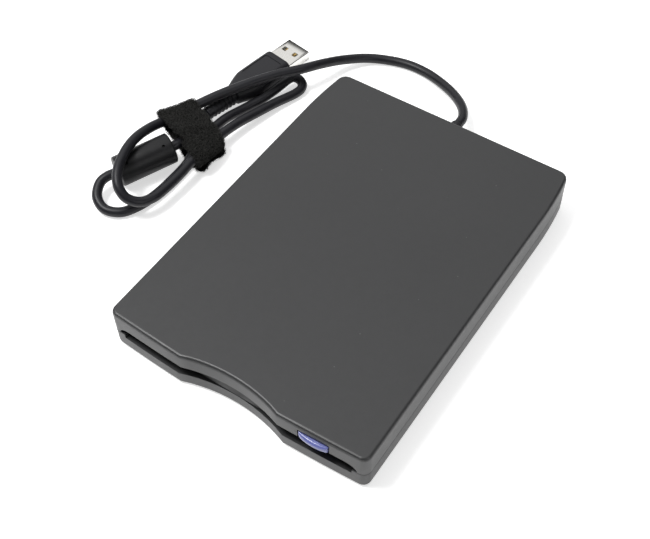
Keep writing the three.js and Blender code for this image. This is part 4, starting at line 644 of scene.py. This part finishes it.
# the plug's grip, each section given as its place behind the front, half width, half height and corner
plugSections = [(0.0, 6.5, 3.5, 2.4), (0.12, 6.75, 3.72, 2.6), (0.4, 6.95, 3.95, 2.8), (1.0, 7.08, 4.08, 3.0),
    (9.0, 7.1, 4.1, 3.0), (17.0, 7.05, 4.05, 3.0), (18.6, 6.95, 4.0, 3.0), (20.0, 6.62, 3.9, 3.0),
    (21.6, 6.1, 3.78, 3.0), (23.2, 5.5, 3.66, 3.0), (24.8, 4.85, 3.56, 2.95), (26.2, 4.3, 3.5, 2.9),
    (27.0, 4.1, 3.45, 2.9), (27.3, 3.8, 3.3, 2.8)]


def roundedRing(place, halfWidth, halfHeight, radius, steps):
    ring = []
    for quarter, (sx, sz) in enumerate(((1, 1), (-1, 1), (-1, -1), (1, -1))):
        for i in range(steps + 1):
            angle = (quarter + i / steps) * pi / 2
            ring.append(place(sx * (halfWidth - radius) + radius * cos(angle),
                sz * (halfHeight - radius) + radius * sin(angle)))
    return ring


def onPlug(across, behind, up):
    return plugFront + (plugSide * across - plugAxis * behind + Vector((0, 0, up))) * mm


def crossRing(behind, halfWidth, halfHeight, radius, steps=7):
    return roundedRing(lambda x, z: onPlug(x, behind, z), halfWidth, halfHeight, radius, steps)


def levelRing(up, across, behind, halfWidth, halfLength, radius, steps=7):
    return roundedRing(lambda x, y: onPlug(across + x, behind - y, up), halfWidth, halfLength, radius, steps)


def makeGrip(s):
    panel = loft("panel", [levelRing(up, 0, (s["panelFrom"] + s["panelTo"]) / 2, s["panelHalf"],
        (s["panelTo"] - s["panelFrom"]) / 2, s["panelCorner"]) for up in s["panelLevels"]])
    pocket = loft("pocket", [crossRing(behind, *s["pocket"]) for behind in s["pocketEnds"]])
    body = carved("grip", loft("grip", [crossRing(*section) for section in plugSections]), [panel, pocket])
    place = frameOn(plugFront, -plugAxis)
    root, neck, tip = s["coreRadii"]
    profile = [(s["bore"], s["coreStart"]), (root, s["coreStart"]), (neck, s["reliefEnd"] - s["tipEdge"]),
        (tip, s["reliefEnd"]), (s["bore"], s["reliefEnd"])]
    core = lathe("reliefCore", [(r * mm, h * mm) for r, h in profile], s["coreSides"], place)
    pitch = (s["reliefEnd"] - s["ribsFrom"]) / s["ribs"]
    ribs = ribbed("reliefRibs", place, s["ribsFrom"] + pitch * s["ribLead"], pitch, s, plugRubber)
    return smoothBy(joinedMesh("plugGrip", [body, core, ribs]), 42)


grip = addPiece("plugGrip", makeGrip(plugSizes), plugRubber, ["plug_overmould"])
softenEdges(grip, 0.00012, 60)
print("plug grip made")

shellSizes = {"halfWidth": 6.0, "halfHeight": 2.25, "sheet": 0.32, "length": 12.0, "inside": 2.5, "corner": 0.45,
    "steps": 4, "outerDrops": (0.12, 0.1), "mouth": ((-1.0, 0.35), (0.0, 0.08), (0.3, 0.0)),
    "over": 1.0, "innerCorner": 0.6, "holeX": 2.9, "holeAt": 6.4, "holeHalf": 1.15, "holeCorner": 0.25,
    "holeReach": 4.0}


def makeShell(s):
    lip, drop = s["outerDrops"]
    outer = [crossRing(behind, s["halfWidth"] - less, s["halfHeight"] - less, s["corner"], s["steps"])
        for behind, less in ((s["inside"], 0.0), (-s["length"] + lip, 0.0), (-s["length"], drop))]
    mouth = [(-s["length"] + ahead, more) for ahead, more in s["mouth"]] + [(s["inside"] + s["over"], 0.0)]
    inner = [crossRing(behind, s["halfWidth"] - s["sheet"] + more, s["halfHeight"] - s["sheet"] + more,
        s["corner"] * s["innerCorner"], s["steps"]) for behind, more in mouth]
    windows = [loft("window", [levelRing(up, side * s["holeX"], -s["holeAt"], s["holeHalf"], s["holeHalf"],
        s["holeCorner"], 3) for up in (-s["holeReach"], s["holeReach"])]) for side in (-1, 1)]
    return smoothBy(carved("plugShell", loft("shell", outer), [loft("bore", inner), *windows]), 40)


plugShell = addPiece("plugShell", makeShell(shellSizes), shellPlating, ["usb_shell"])


def rowOfCopies(tree, given):
    return inRow(tree, given["Geometry"], given["Count"], given["Step"])


contactSizes = {"count": 4, "pitch": 2.3, "half": 0.5, "from": 1.5, "to": 9.6, "rise": 0.12, "top": 0.2,
    "sunk": 0.05}


def makeContacts(s):
    finger = boxMesh("finger", (-s["half"] * mm, s["from"] * mm, (s["top"] - s["sunk"]) * mm),
        (s["half"] * mm, s["to"] * mm, (s["top"] + s["rise"]) * mm))
    mesh = grown("plugContacts", finger, rowOfCopies,
        {"Count": s["count"], "Step": Vector((s["pitch"] * mm, 0, 0))}, contactGold)
    turn = Matrix((plugSide, plugAxis, upward)).transposed().to_4x4()
    start = -(s["count"] - 1) / 2 * s["pitch"] * mm
    mesh.transform(moveBy(plugFront) @ turn @ moveBy((start, 0, 0)))
    return mesh


contacts = addPiece("plugContacts", makeContacts(contactSizes), None)
tongue = refined("plugTongue", "usb_contact_tongue", nylonWhite, bevel=0.00012)
print("plug shell, tongue and contacts made")

# the hook-and-loop strap round the hank
strapSizes = {"middle": (-89.4, -51.2), "lean": (0.39, 0.92), "width": 14.6, "thickness": 0.85, "slack": 0.25,
    "lap": 1.18, "edgeDip": 0.5, "startAngle": 40.0, "endAngle": -378.0, "steps": 96, "across": 12,
    "shift": 1.2, "shiftFrom": 0.6, "look": 19.0, "floor": 0.12, "wave": 0.22, "waveTurns": 5.1,
    "waveAlong": 320, "tailLength": 5.4, "tailSteps": 12, "tailRound": 2.6, "tailLean": (0.9, -0.42),
    "tailBend": 1.3, "hood": 1.8, "hoodAngle": 128.0, "overhang": 2.0, "lowest": 0.06}
pileSizes = {"Density": 5.8e6, "Length": 0.0007, "Thickness": 0.00006, "Seed": 5}  # loops on each square metre
pileLowest = 0.00004
strapHalf = strapSizes["width"] / 2 * mm
strapLowest = (strapSizes["floor"] + strapSizes["thickness"] * 0.5) * mm
strapAxis = Vector((*strapSizes["lean"], 0)).normalized()
strapSide = Vector((strapAxis.y, -strapAxis.x, 0))
strapMiddle = Vector((strapSizes["middle"][0], strapSizes["middle"][1] + rear, 0)) * mm


def strandsAt(offset):
    # where the lead crosses one section of the strap, and how much wider and taller it is there
    found = []
    for a, b in zip(leadPath, leadPath[1:]):
        before, after = (a - strapMiddle).dot(strapAxis) - offset, (b - strapMiddle).dot(strapAxis) - offset
        if before * after < 0:
            point = a.lerp(b, before / (before - after))
            across = (point - strapMiddle).dot(strapSide)
            if abs(across) < strapSizes["look"] * mm:
                step = b - a
                run = abs(step.dot(strapAxis))
                found.append((across, point.z, hypot(1, step.dot(strapSide) / run), hypot(1, step.z / run)))
    return found


def bandReach(offset):
    # how far the tight band stands from the middle of the strands, every five degrees
    radius = leadSizes["diameter"] / 2 * mm
    strands = strandsAt(offset)
    rim = np.array([(x + radius * wide * cos(t), z + radius * tall * sin(t))
        for x, z, wide, tall in strands for t in np.linspace(0, 2 * pi, 24, endpoint=False)])
    middle = np.array([(x, z) for x, z, _, _ in strands]).mean(axis=0)
    leans = np.radians(np.linspace(-86, 86, 60))
    reach = []
    for degrees in range(0, 360, 5):
        t = radians(degrees)
        turned = (rim - middle) @ np.array([[cos(t), -sin(t)], [sin(t), cos(t)]])
        support = (turned @ np.array([np.cos(leans), np.sin(leans)])).max(axis=0)
        reach.append((support / np.cos(leans)).min())
    return middle, np.array(reach)


def strapBand(s, offsets):
    # rows of points along the band, each running across it
    bands = [bandReach(o) for o in offsets]
    shared = np.array([middle for middle, _ in bands]).mean(axis=0)
    reaches = []
    for middle, reach in bands:
        points = [(middle[0] + r * cos(radians(5 * i)), middle[1] + r * sin(radians(5 * i)))
            for i, r in enumerate(reach)]
        angles = np.array([atan2(z - shared[1], x - shared[0]) for x, z in points])
        lengths = np.array([hypot(x - shared[0], z - shared[1]) for x, z in points])
        order = np.argsort(angles)
        angles, lengths = angles[order], lengths[order]
        reaches.append((np.concatenate([angles - 2 * pi, angles, angles + 2 * pi]), np.concatenate([lengths] * 3)))
    rows = []
    for step in range(s["steps"] + 1):
        degrees = s["startAngle"] + (s["endAngle"] - s["startAngle"]) * (step / s["steps"])
        turns = abs(degrees - s["startAngle"]) / 360
        t = (radians(degrees) + pi) % (2 * pi) - pi
        facing = max(0.0, cos(t - radians(s["hoodAngle"])))
        row = []
        for known, offset in zip(reaches, offsets):
            side = max(0.0, -offset / strapHalf)
            stand = (s["slack"] + s["thickness"] * 0.5 + s["thickness"] * s["lap"] * turns
                - s["edgeDip"] * (abs(offset) / strapHalf) ** 4) * mm
            wave = s["wave"] * mm * sin(s["waveTurns"] * t + 2.0 * turns + offset * s["waveAlong"])
            hood = s["hood"] * mm * side ** 2 * facing ** 2
            reach = np.interp(t, *known) + stand + wave + hood
            over = s["overhang"] * mm * side * facing
            row.append(strapMiddle + strapAxis * (offset - over + s["shift"] * mm * (turns - s["shiftFrom"]))
                + strapSide * (shared[0] + reach * cos(t))
                + Vector((0, 0, max(shared[1] + reach * sin(t), strapLowest))))
        rows.append(row)
    return rows


def strapTail(s, offsets, rows):
    # the free end leaves the band and lies down towards the case, its corners rounded
    before, last = rows[-4], rows[-1]
    spine = list(last)
    lying = (strapSide * s["tailLean"][0] + Vector((0, 0, s["tailLean"][1]))).normalized()
    tail = []
    for i in range(1, s["tailSteps"] + 1):
        share = i / s["tailSteps"]
        turnIn = max(0.0, 1 - s["tailLength"] * (1 - share) / s["tailRound"])
        draw = s["tailRound"] * mm * (1 - sqrt(max(0.0, 1 - turnIn ** 2)))
        row = []
        for k, point in enumerate(last):
            heading = (point - before[k]).normalized()
            out = heading.lerp(lying, min(1.0, share * s["tailBend"])).normalized()
            spine[k] = spine[k] + out * (s["tailLength"] / s["tailSteps"] * mm)
            spot = spine[k] - strapAxis * draw * offsets[k] / strapHalf
            spot.z = max(spot.z, strapLowest)
            row.append(spot)
        tail.append(row)
    return tail


def makeStrap(s):
    offsets = np.linspace(-strapHalf, strapHalf, s["across"] + 1)
    rows = strapBand(s, offsets)
    rows += strapTail(s, offsets, rows)
    count = len(offsets)
    faces = [(r * count + c, r * count + c + 1, (r + 1) * count + c + 1, (r + 1) * count + c)
        for r in range(len(rows) - 1) for c in range(count - 1)]
    holder = linked("strapSheet", plainMesh("strap", [p for row in rows for p in row], (), faces))
    thick = holder.modifiers.new("cloth", "SOLIDIFY")
    thick.thickness, thick.offset = s["thickness"] * mm, 0
    finer = holder.modifiers.new("finer", "SUBSURF")
    finer.levels = finer.render_levels = 1
    whole = bakeMesh(holder, "strap")
    with editing(whole) as form:
        bmesh.ops.recalc_face_normals(form, faces=form.faces)
    keepAbove(whole, s["lowest"] * mm)
    whole.shade_smooth()
    return whole


def loopPile(tree, given):
    points = geo(tree, "DistributePointsOnFaces", distribute_method="RANDOM",
        Mesh=given["Geometry"], Density=given["Density"], Seed=given["Seed"])
    loop = geo(tree, "CurveArc", Resolution=5, Sweep_Angle=radians(205), Radius=given["Length"])
    stand = geo(tree, "Transform", Rotation=(radians(90), 0, 0), Geometry=swept(tree, loop, 3, given["Thickness"]))
    twist = addNode(tree, "FunctionNodeRandomValue", data_type="FLOAT_VECTOR", Min=(-0.7, -0.7, -pi),
        Max=(0.7, 0.7, pi), Seed=given["Seed"])
    size = addNode(tree, "FunctionNodeRandomValue", data_type="FLOAT", Min=0.45, Max=1.15)
    put = geo(tree, "InstanceOnPoints", Points=points, Instance=stand,
        Rotation=points.outputs["Rotation"], Scale=size.outputs["Value"])
    return geo(tree, "RotateInstances", Instances=put, Rotation=twist.outputs["Value"])


def openFaces(mesh, reach):
    # the faces that look away from the band
    with editing(mesh) as form:
        skin = BVHTree.FromBMesh(form)
        hidden = [face for face in form.faces
            if skin.ray_cast(face.calc_center_median() + face.normal * 0.05 * mm, face.normal, reach)[0]]
        bmesh.ops.delete(form, geom=hidden, context="FACES")
    return mesh


strapMesh = makeStrap(strapSizes)
pileMesh = grown("strapPile", openFaces(strapMesh.copy(), strapSizes["look"] * 2 * mm), loopPile, pileSizes,
    strapPile)
keepAbove(pileMesh, pileLowest)
strap = addPiece("strap", strapMesh, strapCloth, ["cable_tie"])
pile = addPiece("strapLoops", pileMesh, None)
print("strap made,", len(pileMesh.polygons), "faces of loops")

# the case and its button
print("dressing the case")
refined("caseTop", "top_cover", shellTop, 38)
refined("caseBottom", "bottom_cover", shellLower, 38)
refined("doorLeaf", "slot_door", doorPlastic, bevel=0.0001)
for name in ("front_left", "front_right", "rear_left", "rear_right"):
    refined("foot" + name.title().replace("_", ""), "foot_" + name, footRubber, 50, 0.00015)

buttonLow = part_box("eject_button")[0] / mm
buttonSizes = {"left": 26.9, "right": 38.0, "bottom": buttonLow.z, "top": buttonLow.z + 2.8, "noseY": buttonLow.y,
    "rearBehind": 3.55, "noseDepth": 1.5, "underRise": 1.2, "overRise": 0.9, "draw": 1.1,
    "edgeSteps": 7, "noseSteps": 48, "stem": (28.0, 37.0, 14.5, 15.4), "stemStart": 1.0,
    "stemRear": 2.0, "tabY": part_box("slide_plate")[0].y / mm, "hole": (29.8, 35.2), "holeHalf": 0.2, "tab": 0.5}


def makeButton(s):
    centre, half = (s["left"] + s["right"]) / 2, (s["right"] - s["left"]) / 2
    root = s["noseY"] + s["noseDepth"]
    back = s["noseY"] + s["rearBehind"]
    height = s["top"] - s["bottom"]
    quarter = [pi / 2 * i / s["edgeSteps"] for i in range(s["edgeSteps"] + 1)]
    levels = [(s["underRise"] * (1 - cos(t)), s["draw"] * (1 - sin(t))) for t in quarter]
    levels += [(height - s["overRise"] * (1 - cos(t)), s["draw"] * (1 - sin(t))) for t in quarter[::-1]]
    nose = [pi * (1 + i / s["noseSteps"]) for i in range(s["noseSteps"] + 1)]
    rings = []
    for rise, inset in levels:
        spots = [(centre + half * cos(t), root + (s["noseDepth"] - inset) * sin(t)) for t in nose]
        rings.append([Vector((x, y, s["bottom"] + rise)) * mm
            for x, y in spots + [(s["right"], back), (s["left"], back)]])
    left, right, low, high = s["stem"]
    stem = boxMesh("stem", (left * mm, (back - s["stemStart"]) * mm, low * mm),
        (right * mm, (s["tabY"] + s["stemRear"]) * mm, high * mm))
    hole = boxMesh("hole", (s["hole"][0] * mm, (s["tabY"] - s["holeHalf"]) * mm, (low - 1) * mm),
        (s["hole"][1] * mm, (s["tabY"] + s["tab"] + s["holeHalf"]) * mm, (high + 1) * mm))
    return smoothBy(carved("ejectCap", loft("buttonCap", rings), [hole], [stem]), 50)


addPiece("ejectCap", makeButton(buttonSizes), buttonPlastic, ["eject_button"], "eject")


def crossHeadScrews(tree, given):
    head, shank = (geo(tree, "MeshCylinder", Vertices=count, Radius=given[part + " Radius"], Depth=given[length])
        for part, length, count in (("Head", "Head Height", 32), ("Shank", "Shank Length", 20)))
    rise = mathOf("ADD", mathOf("MULTIPLY", given["Shank Length"], 0.5),
        mathOf("MULTIPLY", given["Head Height"], 0.499))
    lifted = geo(tree, "Transform", Geometry=shank, Translation=vectorOf(tree, Z=rise))
    down = vectorOf(tree, Z=mathOf("MULTIPLY", given["Head Height"], -0.5))
    reach, half, depth = (mathOf("MULTIPLY", given["Cross " + way], 2) for way in ("Reach", "Half", "Depth"))
    cut = geo(tree, "MeshBoolean", operation="DIFFERENCE", solver="EXACT")
    feed(cut.inputs["Mesh 1"], head)
    for x, y in ((reach, half), (half, reach)):
        bar = geo(tree, "MeshCube", Size=vectorOf(tree, X=x, Y=y, Z=depth))
        feed(cut.inputs["Mesh 2"], geo(tree, "Transform", Geometry=bar, Translation=down))
    whole = geo(tree, "JoinGeometry")
    for part in (cut, lifted):
        feed(whole.inputs[0], part)
    return geo(tree, "InstanceOnPoints", Points=given["Geometry"], Instance=whole)


screwSizes = {"Head Radius": 0.0021, "Head Height": 0.0008, "Shank Radius": 0.0009, "Cross Half": 0.0003,
    "Cross Reach": 0.0012, "Cross Depth": 0.0005}
headHeight = screwSizes["Head Height"]
for name, standsFor in (
        ("chassisScrews", ["chassis_screw_" + e + "_" + s for e in ("front", "rear") for s in ("left", "right")]),
        ("caseScrews", ["case_screw_left", "case_screw_right"])):
    boxes = [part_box(node) for node in standsFor]
    spots = [((low.x + high.x) / 2, (low.y + high.y) / 2, low.z + headHeight / 2) for low, high in boxes]
    shank = boxes[0][1].z - boxes[0][0].z - headHeight
    mesh = grown(name, pointMesh(spots), crossHeadScrews, {**screwSizes, "Shank Length": shank}, screwSteel)
    addPiece(name, smoothBy(mesh, 40), None, standsFor)
print("button and screws made")


# springs that keep their length
def woundSpring(tree, given):
    coil = geo(tree, "CurveSpiral", Resolution=28, Rotations=given["Turns"],
        Start_Radius=given["Radius"], End_Radius=given["Radius"], Height=given["Length"])
    return smoothed(tree, swept(tree, coil, 8, given["Wire"], True))


springSizes = {
    "doorSpringCoil": {"along": (1, 0, 0), "up": (0, 0, 1), "for": "door_spring",
        "coil": {"Turns": 9.0, "Radius": 0.00095, "Length": 0.006, "Wire": 0.00013}},
    "latchSpringCoil": {"along": (0, 0, 1), "up": (0, 1, 0), "for": "latch_spring",
        "coil": {"Turns": 4.0, "Radius": 0.0023, "Length": 0.0026, "Wire": 0.00022}}}
for name, s in springSizes.items():
    mesh = grown(name, pointMesh(), woundSpring, s["coil"], springSteel)
    low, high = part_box(s["for"])
    along = Vector(s["along"])
    mesh.transform(frameOn((low + high) / 2 - along * s["coil"]["Length"] / 2, along, Vector(s["up"])))
    addPiece(name, mesh, None, [s["for"]])

# the mechanism inside, each node with the width of its softened edges
inside = [
    (steelSheet, {"drive_chassis": 0, "slide_plate": 0, "upper_head_arm": 0.00012}),
    (platedSheet, {"top_shield": 0, "disk_carrier": 0, "rotor": 0.00015}),
    (nylonWhite, {"latch_lever": 0.00012, "lower_head": 0.0004, "upper_head": 0.0004, "cord_connector": 0.0002,
        "sense_plunger_left": 0.0002, "sense_plunger_right": 0.0002}),
    (steelTurned, {"latch_pivot": 0, "stator_core": 0, "drive_pin": 0.0002, "stepper_motor": 0.0003,
        "lead_screw": 0, "guide_rod": 0.0001, "door_hinge_pin": 0.0001}),
    (boardLacquer, {"spindle_motor_board": 0, "control_board": 0.00008, "usb_board": 0.00008}),
    (brassTurned, {"spindle_bearing": 0.0001, "head_arm_spring": 0}),
    (magnetBonded, {"rotor_magnet": 0}),
    (chipBlack, {"head_carriage": 0, "controller_chip": 0.00015, "sense_switch_left": 0,
        "sense_switch_right": 0})]
for finish, nodes in inside:
    for node, soft in nodes.items():
        first, *rest = node.split("_")
        refined(first + "".join(w.title() for w in rest), node, finish, bevel=soft)
for side in ("left", "right"):  # a spring that its joint stretches stays the CAD's own
    materials = frame["nodes"]["slide_spring_" + side].data.materials
    materials.clear()
    materials.append(springSteel)
print("mechanism dressed")

coilSizes = {"Teeth": 12, "Ring": 0.01164, "Loops": 7, "Pitch": 0.00042, "Width": 0.00175, "Height": 0.00066,
    "Wire": 0.00009}
coilLevel = 0.00455


def toothWindings(tree, given):
    loop = geo(tree, "CurvePrimitiveQuadrilateral", Width=given["Width"], Height=given["Height"])
    upright = geo(tree, "Transform", Rotation=(pi / 2, 0, pi / 2), Geometry=swept(tree, loop, 6, given["Wire"]))
    tooth = inRow(tree, upright, given["Loops"], vectorOf(tree, X=given["Pitch"]))
    ring = geo(tree, "MeshCircle", Vertices=given["Teeth"], Radius=given["Ring"])
    outward = addNode(tree, "FunctionNodeAlignRotationToVector", axis="X", Vector=geo(tree, "InputPosition"))
    return smoothed(tree, geo(tree, "InstanceOnPoints", Points=ring, Instance=tooth, Rotation=outward))


low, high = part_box("rotor")
coils = grown("statorCoils", pointMesh(), toothWindings, coilSizes, copperWire)
coils.transform(moveBy((0, (low.y + high.y) / 2, coilLevel)))
addPiece("statorCoils", coils, None)

pinSizes = {"perSide": 11, "pitch": 0.95, "half": 0.18, "chipHalf": 6.0, "root": 0.7, "out": 1.1, "thick": 0.15,
    "inset": 0.2, "lift": 0.02, "knee": 0.35, "ankle": 0.6}


def makePins(s):
    chip, out, half, thin = s["chipHalf"], s["out"], s["half"], s["thick"] / 2
    flat = thin + s["lift"]
    path = [(chip - s["inset"], s["root"]), (chip + out * s["knee"], s["root"]), (chip + out * s["ankle"], flat),
        (chip + out, flat)]
    rings = [[Vector((r, a, z + b)) * mm for a, b in ((-half, -thin), (half, -thin), (half, thin), (-half, thin))]
        for r, z in path]
    rows = []
    for quarter in range(4):
        row = grown("pins", loft("pin", rings), rowOfCopies,
            {"Count": s["perSide"], "Step": Vector((0, s["pitch"] * mm, 0))}, screwSteel)
        row.transform(Matrix.Rotation(quarter * pi / 2, 4, "Z")
            @ moveBy((0, -(s["perSide"] - 1) / 2 * s["pitch"] * mm, 0)))
        rows.append(row)
    mesh = joinedMesh("chipPins", rows)
    low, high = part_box("controller_chip")
    mesh.transform(moveBy(((low.x + high.x) / 2, (low.y + high.y) / 2, low.z)))
    return mesh


addPiece("chipPins", makePins(pinSizes), screwSteel)
print("windings and pins made")

# floor, world and lamps
stageSizes = {"floorHalf": 4.0, "floorTone": 0.86, "seenLift": 0.6, "dimSide": 0.06, "softFrom": 0.6, "softTo": 0.84,
    "softbox": (-0.41, 0.256, 0.875)}
lampSizes = {"key": {"at": (-0.37, -0.22, 0.89), "size": 0.3, "watts": 6.0},
    "right": {"at": (0.95, -0.2, 0.6), "size": 0.7, "watts": 2.0}}


def makeFloor(s):
    half = s["floorHalf"]
    mesh = meshFrom("floor", [(-half, -half, 0), (half, -half, 0), (half, half, 0), (-half, half, 0)],
        [(0, 1, 2, 3)])
    finish, place = startFinish("paleFloor")
    # rays that are seen, straight on or in a shine, find the floor a little brighter
    rays = addNode(place.id_data, "ShaderNodeLightPath").outputs
    seen = rays["Is Glossy Ray"]
    for kind in ("Is Camera Ray", "Is Transmission Ray"):
        seen = mathOf("ADD", seen, rays[kind])
    lift = mathOf("MULTIPLY", mathOf("MINIMUM", seen, 1.0), s["seenLift"])
    painted(finish, Base_Color=(s["floorTone"],) * 3 + (1,), Roughness=0.9, Specular_IOR_Level=0.1,
        Emission_Color=(1, 1, 1, 1), Emission_Strength=lift)
    mesh.materials.append(finish)
    floor = linked("floor", mesh)
    floor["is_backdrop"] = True


def makeWorld(s):
    # one wide pale patch overhead in a dimmer room
    world = bpy.data.worlds.new("studio")
    world.use_nodes = True
    tree = world.node_tree
    tree.nodes.clear()
    away = addNode(tree, "ShaderNodeTexCoord").outputs["Generated"]
    facing = mathOf("DOT_PRODUCT", away, s["softbox"], kind="ShaderNodeVectorMath")
    patch = addNode(tree, "ShaderNodeMapRange", interpolation_type="SMOOTHSTEP", Value=facing,
        From_Min=s["softFrom"], From_Max=s["softTo"], To_Min=s["dimSide"], To_Max=1.0)
    addNode(tree, "ShaderNodeOutputWorld",
        Surface=addNode(tree, "ShaderNodeBackground", Color=(1, 1, 1, 1), Strength=patch))
    scene.world = world


def makeLamps(lamps):
    for name, s in lamps.items():
        light = bpy.data.lights.new(name, "AREA")
        light.shape, light.size, light.energy = "DISK", s["size"], s["watts"]
        lamp = linked(name, light)
        lamp.location = s["at"]
        lamp.rotation_euler = (-Vector(s["at"])).to_track_quat("-Z", "Y").to_euler()


makeFloor(stageSizes)
makeWorld(stageSizes)
makeLamps(lampSizes)
scene.view_settings.view_transform = "Standard"
print("stage set")

low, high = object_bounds()
